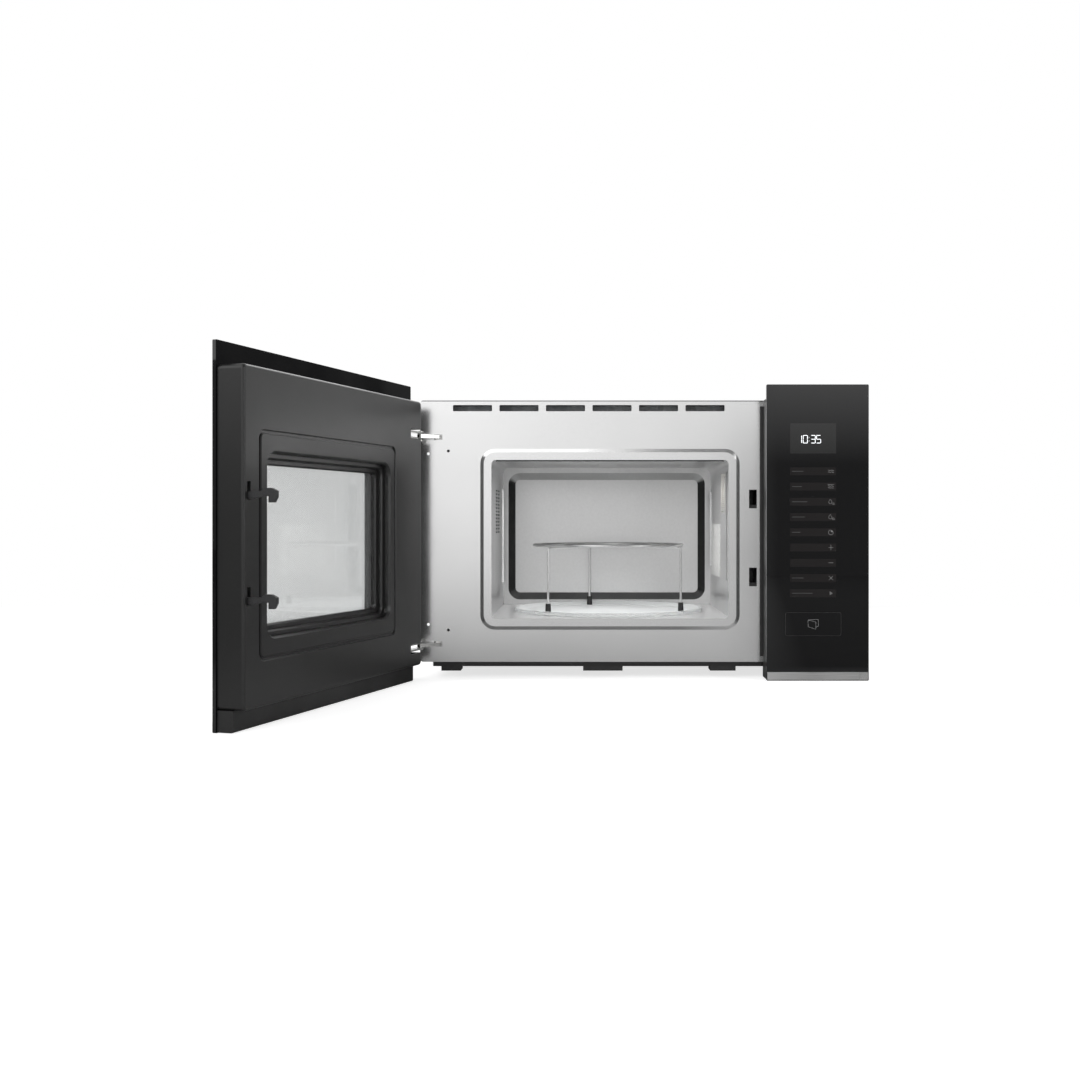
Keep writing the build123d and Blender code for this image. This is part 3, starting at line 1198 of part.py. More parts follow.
with BuildPart() as magnetron:
    yoke_right = GUIDE_RIGHT + YOKE_W
    with BuildSketch(side_plane(GUIDE_RIGHT)):
        centred(PORT_Y, FEED_Z, YOKE_L, YOKE_H)
    extrude(amount=YOKE_W)
    with BuildSketch(front_plane(PORT_Y - YOKE_L / 2)):
        half_h = YOKE_H / 2 - YOKE_T
        span(GUIDE_RIGHT + YOKE_T, yoke_right - YOKE_T, FEED_Z - half_h, FEED_Z + half_h)
    extrude(amount=-YOKE_L, mode=Mode.SUBTRACT)
    with BuildSketch(side_plane(GUIDE_RIGHT + YOKE_T)):
        with Locations((PORT_Y, FEED_Z)):
            Circle(ANODE_R)
    extrude(amount=YOKE_W - 2 * YOKE_T)
    for start in (GUIDE_RIGHT + YOKE_T, yoke_right - YOKE_T - MAGNET_T):
        with BuildSketch(side_plane(start)):
            with Locations((PORT_Y, FEED_Z)):
                Circle(MAGNET_R)
        extrude(amount=MAGNET_T)
    for fin in range(FIN_COUNT):
        middle = GUIDE_RIGHT + YOKE_W / 2 + (fin - (FIN_COUNT - 1) / 2) * FIN_PITCH
        with BuildSketch(side_plane(middle - FIN_T / 2)):
            centred(PORT_Y, FEED_Z, YOKE_L, YOKE_H)
        extrude(amount=FIN_T)
    with BuildSketch(side_plane(GUIDE_RIGHT)):
        with Locations((PORT_Y, FEED_Z)):
            Circle(ANTENNA_R)
    extrude(amount=-ANTENNA_L)
    with BuildSketch(side_plane(yoke_right)):
        centred(PORT_Y, FEED_Z, FILTER_L, FILTER_H)
    extrude(amount=FILTER_W)

CORE_HALF_W = CORE_LEG + CORE_WINDOW_W + CORE_LEG / 2
CORE_FOOT_Z = BASE_TOP + CORE_FOOT_T
with BuildPart() as transformer_core:
    with BuildSketch(Plane.XY.offset(BASE_TOP)):
        centred(CORE_X, CORE_Y, 2 * (CORE_HALF_W + CORE_FOOT), CORE_L, PLATE_R)
    extrude(amount=CORE_FOOT_T)
    with BuildSketch(front_plane(CORE_Y - CORE_L / 2)):
        span(CORE_X - CORE_HALF_W, CORE_X + CORE_HALF_W, CORE_FOOT_Z, CORE_FOOT_Z + CORE_H)
        for side in (-1, 1):
            window_x = CORE_X + side * (CORE_LEG + CORE_WINDOW_W / 2)
            window_h = CORE_H - 2 * CORE_LEG
            centred(window_x, CORE_FOOT_Z + CORE_H / 2, CORE_WINDOW_W, window_h, mode=Mode.SUBTRACT)
    extrude(amount=-CORE_L)

with BuildPart() as transformer_windings:
    coil_h = (CORE_H - 2 * CORE_LEG) / 2 - WINDING_FIT
    for layer in (CORE_FOOT_Z + CORE_LEG, CORE_FOOT_Z + CORE_H / 2 + WINDING_FIT):
        with BuildSketch(Plane.XY.offset(layer)):
            outer_w = 2 * (CORE_LEG + CORE_WINDOW_W - WINDING_FIT)
            centred(CORE_X, CORE_Y, outer_w, CORE_L + 2 * WINDING_BULGE, WINDING_BULGE)
            inner_w = 2 * (CORE_LEG + WINDING_FIT)
            inner_l = CORE_L + 2 * WINDING_FIT
            centred(CORE_X, CORE_Y, inner_w, inner_l, mode=Mode.SUBTRACT)
        extrude(amount=coil_h)

with BuildPart() as hv_capacitor:
    can_z = BASE_TOP + CAN_H / 2
    with BuildSketch(side_plane(CAN_X - CAN_L / 2)):
        with Locations((CAN_Y, can_z)):
            SlotOverall(CAN_W, CAN_H)
    extrude(amount=CAN_L)
    with BuildSketch(side_plane(CAN_X + CAN_L / 2)):
        with Locations((CAN_Y, can_z)):
            with GridLocations(CAN_W / 2, CAN_H, 2, 1):
                Rectangle(BOSS_R * 2, FIN_T * 2)
    extrude(amount=TUBE_CAP_L)

with BuildPart() as capacitor_clamp:
    inner_w = CAN_W + 2 * CLAMP_FIT
    inner_h = CAN_H + 2 * CLAMP_FIT
    half = inner_w / 2 + CLAMP_T
    with BuildSketch(side_plane(CAN_X - CLAMP_W / 2)):
        with Locations((CAN_Y, can_z)):
            SlotOverall(inner_w + 2 * CLAMP_T, inner_h + 2 * CLAMP_T)
        span(CAN_Y - half, CAN_Y + half, BASE_TOP, can_z)
        span(CAN_Y - half - CLAMP_EAR, CAN_Y + half + CLAMP_EAR, BASE_TOP, BASE_TOP + CLAMP_T)
        with Locations((CAN_Y, can_z)):
            SlotOverall(inner_w, inner_h, mode=Mode.SUBTRACT)
        span(CAN_Y - inner_w / 2, CAN_Y + inner_w / 2, BASE_TOP - CLAMP_T, can_z, mode=Mode.SUBTRACT)
        span(CAN_Y - half, CAN_Y + half, BASE_TOP - 2 * CLAMP_T, BASE_TOP, mode=Mode.SUBTRACT)
    extrude(amount=CLAMP_W)

# Cooling fan: shroud on the rear panel, motor on three arms, six pitched blades
SHROUD_FRONT = BODY_DEPTH - SHROUD_DEPTH
with BuildPart() as fan_shroud:
    ring_r = FAN_R + FAN_GAP
    with BuildSketch(front_plane(BODY_DEPTH)):
        centred(FAN_X, FAN_Z, SHROUD_SIDE, SHROUD_SIDE, PLATE_R)
        with Locations((FAN_X, FAN_Z)):
            Circle(ring_r, mode=Mode.SUBTRACT)
    extrude(amount=SHROUD_T)
    with BuildSketch(front_plane(BODY_DEPTH)):
        with Locations((FAN_X, FAN_Z)):
            Circle(ring_r + SHROUD_T)
            Circle(ring_r, mode=Mode.SUBTRACT)
    extrude(amount=SHROUD_DEPTH)
    with BuildSketch(front_plane(SHROUD_FRONT)):
        with Locations((FAN_X, FAN_Z)):
            Circle(SEAT_R)
            with PolarLocations(ring_r / 2, SEAT_ARMS):
                Rectangle(ring_r, SEAT_ARM_W)
        with Locations((FAN_X, FAN_Z)):
            Circle(2 * FAN_SHAFT_R, mode=Mode.SUBTRACT)
    extrude(amount=-SEAT_T)

with BuildPart() as fan_motor:
    stack_back = SHROUD_FRONT - (COIL_T - STACK_T) / 2
    with BuildSketch(front_plane(stack_back)):
        centred(FAN_X, FAN_Z, STACK_W, STACK_H)
    extrude(amount=STACK_T)
    with BuildSketch(front_plane(SHROUD_FRONT)):
        centred(FAN_X, FAN_Z - STACK_H / 2, COIL_W, COIL_H, PLATE_R)
    extrude(amount=COIL_T)
    with BuildSketch(front_plane(SHROUD_FRONT)):
        with Locations((FAN_X, FAN_Z)):
            Circle(FAN_HUB_R)
    extrude(amount=SHROUD_FRONT - stack_back)
    with BuildSketch(front_plane(SHROUD_FRONT)):
        with Locations((FAN_X, FAN_Z)):
            Circle(FAN_SHAFT_R)
    extrude(amount=-(SEAT_T + FAN_W))

with BuildPart() as fan_blade:
    hub_y = SHROUD_FRONT + SEAT_T + SHROUD_T / 2
    with BuildSketch(front_plane(hub_y)):
        with Locations((FAN_X, FAN_Z)):
            Circle(FAN_HUB_R)
    extrude(amount=-FAN_W)
    for blade in range(FAN_BLADES):
        turn = radians(blade * 360 / FAN_BLADES)
        out = Vector(cos(turn), 0, sin(turn))
        root = Vector(FAN_X, hub_y + FAN_W / 2, FAN_Z) + out * BLADE_ROOT_R
        with BuildSketch(Plane(origin=root, x_dir=(0, 1, 0), z_dir=out)):
            Rectangle(BLADE_CHORD, BLADE_T, rotation=90 - BLADE_PITCH)
        extrude(amount=FAN_R - BLADE_ROOT_R)
    with BuildSketch(front_plane(hub_y)):
        with Locations((FAN_X, FAN_Z)):
            Circle(FAN_SHAFT_R + PIN_CLEARANCE)
    extrude(amount=-FAN_W, mode=Mode.SUBTRACT)

# Lamp, grill, thermal cut-outs and mains filter
with BuildPart() as lamp_housing:
    with BuildSketch(side_plane(CAVITY_OUTER_X)):
        centred(LAMP_Y, LAMP_Z, LAMP_L, LAMP_H)
    extrude(amount=LAMP_DEPTH)
    with BuildSketch(side_plane(CAVITY_OUTER_X)):
        centred(LAMP_Y, LAMP_Z, LAMP_L - 2 * WALL_T, LAMP_H - 2 * WALL_T)
    extrude(amount=LAMP_DEPTH - WALL_T, mode=Mode.SUBTRACT)

with BuildPart() as cavity_lamp:
    socket_end = CAVITY_OUTER_X + LAMP_DEPTH - WALL_T
    with BuildSketch(side_plane(socket_end)):
        with Locations((LAMP_Y, LAMP_Z)):
            Circle(SOCKET_R)
    extrude(amount=-SOCKET_L)
    with BuildSketch(side_plane(socket_end - SOCKET_L)):
        with Locations((LAMP_Y, LAMP_Z)):
            Circle(BULB_R)
    extrude(amount=-BULB_R, taper=BULB_TAPER)

with BuildPart() as grill_reflector:
    with BuildSketch(Plane.XY.offset(CAVITY_OUTER_TOP)):
        centred(0, REFLECTOR_Y, REFLECTOR_W, REFLECTOR_L)
    extrude(amount=REFLECTOR_H)
    with BuildSketch(Plane.XY.offset(CAVITY_OUTER_TOP)):
        centred(0, REFLECTOR_Y, REFLECTOR_W - 2 * WALL_T, REFLECTOR_L - 2 * WALL_T)
    extrude(amount=REFLECTOR_H - WALL_T, mode=Mode.SUBTRACT)

with BuildPart() as grill_element:
    tube_half = REFLECTOR_W / 2 - WALL_T
    tube_z = CAVITY_OUTER_TOP + REFLECTOR_H / 2
    for y in (REFLECTOR_Y - TUBE_SPACING / 2, REFLECTOR_Y + TUBE_SPACING / 2):
        with BuildSketch(side_plane(-tube_half)):
            with Locations((y, tube_z)):
                Circle(TUBE_R)
        extrude(amount=2 * tube_half)
        for start in (-tube_half, tube_half - TUBE_CAP_L):
            with BuildSketch(side_plane(start)):
                with Locations((y, tube_z)):
                    Circle(TUBE_CAP_R)
            extrude(amount=TUBE_CAP_L)

with BuildPart() as thermal_cutouts:
    for x, y, seat in (
        (CUTOUT_X, CUTOUT_Y, CAVITY_OUTER_TOP),
        (GUIDE_RIGHT + YOKE_W / 2, PORT_Y, FEED_Z + YOKE_H / 2),
    ):
        with BuildSketch(Plane.XY.offset(seat)):
            with Locations((x, y)):
                Circle(CUTOUT_R)
                SlotCenterToCenter(2 * (CUTOUT_R + BOSS_R), 2 * BOSS_R)
        extrude(amount=CUTOUT_FLANGE_T)
        with BuildSketch(Plane.XY.offset(seat + CUTOUT_FLANGE_T)):
            with Locations((x, y)):
                Circle(CUTOUT_R - BOSS_R / 2)
        extrude(amount=CUTOUT_H - CUTOUT_FLANGE_T)

with BuildPart() as mains_filter_board:
    face_y = BODY_DEPTH - STANDOFF
    with BuildSketch(front_plane(face_y)):
        centred(FAN_X, FILTER_BOARD_Z, FILTER_BOARD_W, FILTER_BOARD_H)
    extrude(amount=BOARD_T)
    with BuildSketch(front_plane(face_y)):
        with Locations((FAN_X, FILTER_BOARD_Z)):
            with GridLocations(FILTER_BOARD_W - 2 * POST_INSET, FILTER_BOARD_H - 2 * POST_INSET, 2, 2):
                Circle(STANDOFF_R)
    extrude(amount=-STANDOFF)
    with BuildSketch(front_plane(face_y - BOARD_T)):
        with Locations((FAN_X, FILTER_BOARD_Z)):
            with GridLocations(FILTER_BOARD_W / 2, FILTER_BOARD_H, 2, 1):
                Circle(CHOKE_R)
    extrude(amount=CHOKE_H)

pieces = {
    "front_plate": front_plate,
    "cavity_wrapper": cavity_wrapper,
    "cavity_floor": cavity_floor,
    "cavity_rear_wall": cavity_rear_wall,
    "waveguide_cover": waveguide_cover,
    "turntable_motor": turntable_motor,
    "turntable_coupler": turntable_coupler,
    "roller_ring": roller_ring,
    "roller_1": rollers[0],
    "roller_2": rollers[1],
    "roller_3": rollers[2],
    "turntable_plate": turntable_plate,
    "grill_rack": grill_rack,
    "rack_boots": rack_boots,
    "hinge_arm_lower": hinge_arm_lower,
    "hinge_arm_upper": hinge_arm_upper,
    "door_glass": door_glass,
    "door_trim_strip": door_trim_strip,
    "door_frame": door_frame,
    "door_window_bezel": door_window_bezel,
    "door_window_pane": door_window_pane,
    "door_window_screen": door_window_screen,
    "door_bottom_ledge": door_bottom_ledge,
    "hinge_fork_lower": hinge_fork_lower,
    "hinge_fork_upper": hinge_fork_upper,
    "hinge_pins": hinge_pins,
    "latch_hooks": latch_hooks,
    "latch_board": latch_board,
    "door_switches": door_switches,
    "door_button": door_button,
    "release_slider": release_slider,
    "panel_glass": panel_glass,
    "panel_trim_strip": panel_trim_strip,
    "panel_housing": panel_housing,
    "touch_foil": touch_foil,
    "display_module": display_module,
    "control_board": control_board,
    "outer_wrap": outer_wrap,
    "base_plate": base_plate,
    "feet": feet,
    "motor_access_cover": motor_access_cover,
    "rear_panel": rear_panel,
    "cord_inlet": cord_inlet,
    "exhaust_duct": exhaust_duct,
    "waveguide": waveguide,
    "magnetron": magnetron,
    "transformer_core": transformer_core,
    "transformer_windings": transformer_windings,
    "hv_capacitor": hv_capacitor,
    "capacitor_clamp": capacitor_clamp,
    "fan_shroud": fan_shroud,
    "fan_motor": fan_motor,
    "fan_blade": fan_blade,
    "lamp_housing": lamp_housing,
    "cavity_lamp": cavity_lamp,
    "grill_reflector": grill_reflector,
    "grill_element": grill_element,
    "thermal_cutouts": thermal_cutouts,
    "mains_filter_board": mains_filter_board,
}
os.makedirs("parts", exist_ok=True)
for name, piece in pieces.items():
    piece.part.label = name
    export_step(piece.part, f"parts/{name}.step")
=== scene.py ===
from math import cos, pi, radians, sin

import bmesh
import bpy
from mathutils import Matrix, Vector


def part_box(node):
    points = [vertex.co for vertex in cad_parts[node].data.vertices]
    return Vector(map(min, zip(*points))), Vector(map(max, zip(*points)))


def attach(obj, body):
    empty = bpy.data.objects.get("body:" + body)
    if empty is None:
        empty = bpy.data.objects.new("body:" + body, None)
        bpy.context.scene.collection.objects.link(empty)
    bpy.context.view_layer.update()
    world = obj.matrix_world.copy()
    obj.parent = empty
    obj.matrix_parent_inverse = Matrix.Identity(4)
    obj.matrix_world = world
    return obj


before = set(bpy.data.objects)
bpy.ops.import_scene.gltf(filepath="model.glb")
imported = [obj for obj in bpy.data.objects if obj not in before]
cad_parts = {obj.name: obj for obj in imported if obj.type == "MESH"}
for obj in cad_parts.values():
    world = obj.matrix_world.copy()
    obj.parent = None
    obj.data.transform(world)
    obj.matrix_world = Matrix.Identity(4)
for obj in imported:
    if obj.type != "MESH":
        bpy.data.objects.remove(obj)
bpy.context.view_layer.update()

# Body: the wrap-round cover, the rear panel and the small boxes of sheet inside it.
# All are folded from hot-dip galvanised steel of about one millimetre, lapped and screwed at the seams.
# The zinc froze into flat crystals, so the sheet shines in leafy patches.
MM = 0.001
ZINC_DARK = (0.46, 0.47, 0.48, 1)
ZINC_LIGHT = (0.60, 0.61, 0.62, 1)
SPANGLES_PER_METRE = 130


def add(tree, kind, feeds=None, **settings):
    """A shader node with its settings, its socket values and what it is fed from."""
    made = tree.nodes.new("ShaderNode" + kind)
    for key, value in settings.items():
        setattr(made, key, value)
    for socket, value in (feeds or {}).items():
        if isinstance(value, bpy.types.NodeSocket):
            tree.links.new(value, made.inputs[socket])
        else:
            made.inputs[socket].default_value = value
    return made


def new_finish(name, constants):
    """A node material, and its tree, shader and object coordinates."""
    finish = bpy.data.materials.new(name)
    finish.use_nodes = True
    tree = finish.node_tree
    shader = tree.nodes["Principled BSDF"]
    for socket, value in constants.items():
        shader.inputs[socket].default_value = value
    return finish, tree, shader, add(tree, "TexCoord").outputs["Object"]


def mixed(tree, factor, first, second):
    """A colour between two colours."""
    return add(tree, "Mix", {0: factor, 6: first, 7: second}, data_type="RGBA").outputs[2]


def spread(tree, value, low, high, start=0.3, end=0.7):
    """A value taken from start and end to low and high."""
    ends = {"Value": value, "From Min": start, "From Max": end, "To Min": low, "To Max": high}
    return add(tree, "MapRange", ends).outputs["Result"]


def maths(tree, operation, first, second=0.0):
    return add(tree, "Math", {0: first, 1: second}, operation=operation).outputs[0]


def noise(tree, place, scale, detail=3.0):
    return add(tree, "TexNoise", {"Vector": place, "Scale": scale, "Detail": detail}).outputs["Fac"]


def dented(tree, height, depth):
    """A normal from a height, with its depth in metres."""
    return add(tree, "Bump", {"Height": height, "Distance": depth, "Strength": 1.0}).outputs["Normal"]


def feed(tree, shader, **sources):
    for socket, source in sources.items():
        tree.links.new(source, shader.inputs[socket.replace("_", " ")])


def dress(finish, *nodes):
    for name in nodes:
        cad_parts[name].material_slots[0].material = finish


def shared_effect(name, inputs, outputs):
    """An empty node group with its sockets, for an effect that several finishes share."""
    group = bpy.data.node_groups.new(name, "ShaderNodeTree")
    for label, kind, value in inputs:
        socket = group.interface.new_socket(label, in_out="INPUT", socket_type="NodeSocket" + kind)
        if value is not None:
            socket.default_value = value
    for label in outputs:
        group.interface.new_socket(label, in_out="OUTPUT", socket_type="NodeSocketFloat")
    source = group.nodes.new("NodeGroupInput").outputs
    return group, source, group.nodes.new("NodeGroupOutput").inputs


marks_inputs = [("Vector", "Vector", None), ("Size", "Float", 14.0), ("Smooth", "Float", 0.3),
                ("Rough", "Float", 0.4)]
handling_marks, source, result = shared_effect("handling_marks", marks_inputs, ["Roughness"])
smear_inputs = {"Vector": source["Vector"], "Scale": source["Size"], "Detail": 1.5, "Roughness": 0.5}
smear = add(handling_marks, "TexNoise", smear_inputs).outputs["Fac"]
gloss = spread(handling_marks, smear, source["Smooth"], source["Rough"], 0.36, 0.66)
handling_marks.links.new(gloss, result["Roughness"])


def marked(tree, place, smooth, rough, size=14.0):
    """A roughness that wanders between two values, as handling and wiping leave it."""
    inputs = {"Vector": place, "Size": size, "Smooth": smooth, "Rough": rough}
    return add(tree, "Group", inputs, node_tree=handling_marks).outputs["Roughness"]


galvanised, tree, shader, place = new_finish("galvanised_sheet", {"Metallic": 0.85})
crystal = add(tree, "TexVoronoi", {"Vector": place, "Scale": SPANGLES_PER_METRE, "Randomness": 1.0})
leaf = add(tree, "SeparateColor", {"Color": crystal.outputs["Color"]}).outputs
stain = noise(tree, place, 7.0, 4.0)
leaf_tone = spread(tree, maths(tree, "MULTIPLY", leaf["Red"], stain), 0.0, 1.0, 0.05, 0.55)
feed(tree, shader, Base_Color=mixed(tree, leaf_tone, ZINC_DARK, ZINC_LIGHT),
     Roughness=spread(tree, leaf["Green"], 0.46, 0.60, 0.0, 1.0),
     Normal=dented(tree, noise(tree, place, 420.0), 0.03 * MM))
dress(galvanised, "outer_wrap", "rear_panel", "motor_access_cover", "exhaust_duct", "lamp_housing",
      "waveguide", "grill_reflector", "capacitor_clamp", "magnetron", "turntable_motor")

# Body screws: zinc-plated pan heads with a cross recess, driven through the lapped seams.
# They stand on the rear panel, along the cover's lower edges and on the motor's access cover.
SCREW_R = 3.4
SCREW_HEIGHT = 1.7
RECESS_LONG = 3.6
RECESS_WIDE = 0.9
SEAM_INSET = 12
REAR_COLUMNS_X = (-100, 40, 180)
REAR_ROWS_Z = (14, 350)
REAR_SIDES_Z = (120, 240)
COVER_SCREWS_Y = (40, 160, 280)
COVER_SCREWS_Z = 13
ACCESS_INSET = 6


def shown_mesh(name, mesh, *finishes):
    """The finished mesh as an object of the scene."""
    data = bpy.data.meshes.new(name)
    mesh.to_mesh(data)
    mesh.free()
    for finish in finishes:
        data.materials.append(finish)
    made = bpy.data.objects.new(name, data)
    bpy.context.scene.collection.objects.link(made)
    return made


def piece(name, mesh, body, slot, *finishes):
    """The finished mesh as a piece that moves with a body."""
    made = shown_mesh(name, mesh, *finishes)
    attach(made, body)


def grey(level):
    return (level, level, level, 1)


def grain_of(tree, place, stretch):
    """The tone and the height of a fine grain, with its lines to the metre along each axis."""
    return add(tree, "Group", {"Vector": place, "Stretch": stretch}, node_tree=fine_grain).outputs


def grained(name, dark, light, smooth, rough, stretch, depth, constants=None):
    """A finish with a fine grain in its colour and height, and with handling marks."""
    finish, tree, shader, place = new_finish(name, constants or {})
    grain = grain_of(tree, place, stretch)
    feed(tree, shader, Base_Color=mixed(tree, grain["Tone"], dark, light),
         Roughness=marked(tree, place, smooth, rough), Normal=dented(tree, grain["Height"], depth))
    return finish


grain_inputs = [("Vector", "Vector", None), ("Stretch", "Vector", (400.0, 400.0, 400.0))]
fine_grain, source, result = shared_effect("fine_grain", grain_inputs, ["Tone", "Height"])
drawn = add(fine_grain, "VectorMath", {0: source["Vector"], 1: source["Stretch"]}, operation="MULTIPLY")
streak = add(fine_grain, "TexNoise", {"Vector": drawn.outputs[0], "Scale": 1.0, "Detail": 3.0})
tone = spread(fine_grain, streak.outputs["Fac"], 0.0, 1.0)
fine_grain.links.new(tone, result["Tone"])
fine_grain.links.new(streak.outputs["Fac"], result["Height"])

screw_zinc = grained("screw_zinc", (0.48, 0.47, 0.44, 1), (0.66, 0.65, 0.62, 1), 0.24, 0.38,
                     (900.0, 900.0, 900.0), 0.01 * MM, {"Metallic": 1.0})
screw_shadow = grained("screw_recess_painted_shade", grey(0.03), grey(0.07), 0.5, 0.7,
                       (900.0, 900.0, 900.0), 0.01 * MM, {"Metallic": 0.6})


def join(whole, part):
    """Adds a mesh to another one."""
    holder = bpy.data.meshes.new("holder")
    part.to_mesh(holder)
    part.free()
    whole.from_mesh(holder)
    bpy.data.meshes.remove(holder)


def screw_head(whole, seat, outward):
    """A pan head that stands on seat and faces outward, with a flat dark cross on top as painted shade
    for its cross recess.
    """
    mesh = bmesh.new()
    profile = [(0.0, SCREW_HEIGHT), (2.0, SCREW_HEIGHT), (2.8, 1.45), (3.25, 0.95), (SCREW_R, 0.0)]
    corners = [mesh.verts.new((r * MM, 0.0, z * MM)) for r, z in profile]
    edges = [mesh.edges.new(pair) for pair in zip(corners, corners[1:])]
    bmesh.ops.spin(mesh, geom=corners + edges, cent=(0, 0, 0), axis=(0, 0, 1), angle=2 * pi, steps=20,
                   use_merge=True)
    bmesh.ops.remove_doubles(mesh, verts=mesh.verts, dist=0.01 * MM)
    # Painted shade: the cross recess is a flat near-black cross standing on the head, not cut into it.
    for turn in (0.0, pi / 2):
        bar = bmesh.ops.create_cube(mesh, size=1.0)["verts"]
        sized = Matrix.Diagonal((RECESS_LONG * MM, RECESS_WIDE * MM, 0.1 * MM, 1.0))
        lift = Matrix.Translation((0, 0, SCREW_HEIGHT * MM))
        bmesh.ops.transform(mesh, matrix=lift @ Matrix.Rotation(turn, 4, "Z") @ sized, verts=bar)
        for face in {face for vert in bar for face in vert.link_faces}:
            face.material_index = 1
    aim = Vector((0, 0, 1)).rotation_difference(Vector(outward)).to_matrix().to_4x4()
    bmesh.ops.transform(mesh, matrix=Matrix.Translation(Vector(seat) * MM) @ aim, verts=mesh.verts)
    bmesh.ops.recalc_face_normals(mesh, faces=mesh.faces)
    join(whole, mesh)


mesh = bmesh.new()
rear_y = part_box("rear_panel")[1][1] / MM
left_x, right_x = (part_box("outer_wrap")[end][0] / MM for end in (0, 1))
rear_sides_x = (left_x + SEAM_INSET, right_x - SEAM_INSET)
for x in (rear_sides_x[0], *REAR_COLUMNS_X, rear_sides_x[1]):
    for z in REAR_ROWS_Z:
        screw_head(mesh, (x, rear_y, z), (0, 1, 0))
for x in rear_sides_x:
    for z in REAR_SIDES_Z:
        screw_head(mesh, (x, rear_y, z), (0, 1, 0))
for y in COVER_SCREWS_Y:
    screw_head(mesh, (left_x, y, COVER_SCREWS_Z), (-1, 0, 0))
    screw_head(mesh, (right_x, y, COVER_SCREWS_Z), (1, 0, 0))
piece("body_screws", mesh, "cabinet", "hinge_plating", screw_zinc, screw_shadow)

mesh = bmesh.new()
cover_low, cover_high = (Vector(corner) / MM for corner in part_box("motor_access_cover"))
cover_mid = (cover_low + cover_high) / 2
reach = (cover_high.x - cover_low.x) / 2 - ACCESS_INSET
for turn in (90, 210, 330):
    x = cover_mid.x + reach * cos(radians(turn))
    y = cover_mid.y + reach * sin(radians(turn))
    screw_head(mesh, (x, y, cover_low.z), (0, 0, -1))
piece("access_cover_screws", mesh, "cabinet", "hinge_plating", screw_zinc, screw_shadow)

# Rating plate: a bare, rounded aluminium sheet stuck on the rear panel, where such ovens carry one.
# It is left blank.
PLATE_W = 82
PLATE_H = 46
PLATE_THICK = 0.4
PLATE_CORNER = 3.0
PLATE_X = -150
PLATE_Z = 76
plate_alloy = grained("rating_plate_alloy", grey(0.58), grey(0.70), 0.34, 0.48,
                      (30.0, 900.0, 1400.0), 0.01 * MM, {"Metallic": 0.9})


def rounded_slab(mesh, width, height, thick, radius, segments=5):
    """A slab in the XZ plane, centred on the origin, with rounded corners and its back on Y = 0."""
    slab = bmesh.ops.create_cube(mesh, size=1.0)["verts"]
    sized = Matrix.Diagonal((width * MM, thick * MM, height * MM, 1.0))
    bmesh.ops.transform(mesh, matrix=Matrix.Translation((0, -thick * MM / 2, 0)) @ sized, verts=slab)
    uprights = [edge for edge in {edge for vert in slab for edge in vert.link_edges}
                if abs(edge.verts[0].co.y - edge.verts[1].co.y) > 0.5 * thick * MM]
    bmesh.ops.bevel(mesh, geom=uprights, offset=radius * MM, affect="EDGES", segments=segments,
                    profile=0.5, material=-1)


mesh = bmesh.new()
rounded_slab(mesh, PLATE_W, PLATE_H, PLATE_THICK, PLATE_CORNER)
plate_place = Matrix.Translation(Vector((PLATE_X, rear_y, PLATE_Z)) * MM)
facing_back = plate_place @ Matrix.Rotation(pi, 4, "Z")
bmesh.ops.transform(mesh, matrix=facing_back, verts=mesh.verts)
piece("rating_plate", mesh, "cabinet", "strip_aluminium", plate_alloy)

# Feet and cord inlet: moulded parts that clip into holes of the base plate and the rear panel.
# The feet are black rubber with a dull, dusty skin; the inlet's gland is hard black nylon.
rubber = grained("foot_rubber", grey(0.018), grey(0.034), 0.62, 0.82,
                 (700.0, 700.0, 700.0), 0.08 * MM, {"IOR": 1.48})
dress(rubber, "feet", "rack_boots")
nylon = grained("black_nylon", (0.014, 0.014, 0.015, 1), (0.026, 0.026, 0.027, 1), 0.36, 0.5,
                (1100.0, 1100.0, 1100.0), 0.03 * MM, {"IOR": 1.5})
dress(nylon, "cord_inlet", "door_switches", "latch_board", "latch_hooks", "release_slider")

# Works inside the body: transformer, capacitor, fan, lamp, grill element, cut-outs and boards.
# The cores are stacked from varnished iron sheets, the coils wound in copper wire,
# the boards cut from green laminate, and the fan is moulded in pale plastic.
core, tree, shader, place = new_finish("stacked_iron", {"Metallic": 0.7})
stack = {"Vector": place, "Scale": 300.0, "Distortion": 0.4}
layers = add(tree, "TexWave", stack, bands_direction="Y").outputs["Fac"]
feed(tree, shader, Base_Color=mixed(tree, layers, (0.07, 0.065, 0.06, 1), (0.20, 0.18, 0.16, 1)),
     Roughness=marked(tree, place, 0.4, 0.6), Normal=dented(tree, layers, 0.15 * MM))
dress(core, "transformer_core", "fan_motor")

copper, tree, shader, place = new_finish("copper_winding", {"Metallic": 1.0})
wound = {"Vector": place, "Scale": 260.0, "Distortion": 0.3}
turns = add(tree, "TexWave", wound, bands_direction="Z").outputs["Fac"]
feed(tree, shader, Base_Color=mixed(tree, turns, (0.22, 0.07, 0.025, 1), (0.66, 0.28, 0.12, 1)),
     Roughness=marked(tree, place, 0.25, 0.42), Normal=dented(tree, turns, 0.4 * MM))
dress(copper, "transformer_windings")

board, tree, shader, place = new_finish("green_board", {"IOR": 1.5})
laminate = {"Color1": (0.02, 0.10, 0.035, 1), "Color2": (0.025, 0.12, 0.045, 1),
            "Mortar": (0.05, 0.20, 0.08, 1)}
tracks = add(tree, "TexBrick", {"Vector": place, "Scale": 90.0, "Mortar Size": 0.06, **laminate})
feed(tree, shader, Base_Color=tracks.outputs["Color"], Roughness=marked(tree, place, 0.3, 0.45),
     Normal=dented(tree, noise(tree, place, 300.0), 0.05 * MM))
dress(board, "control_board", "mains_filter_board")

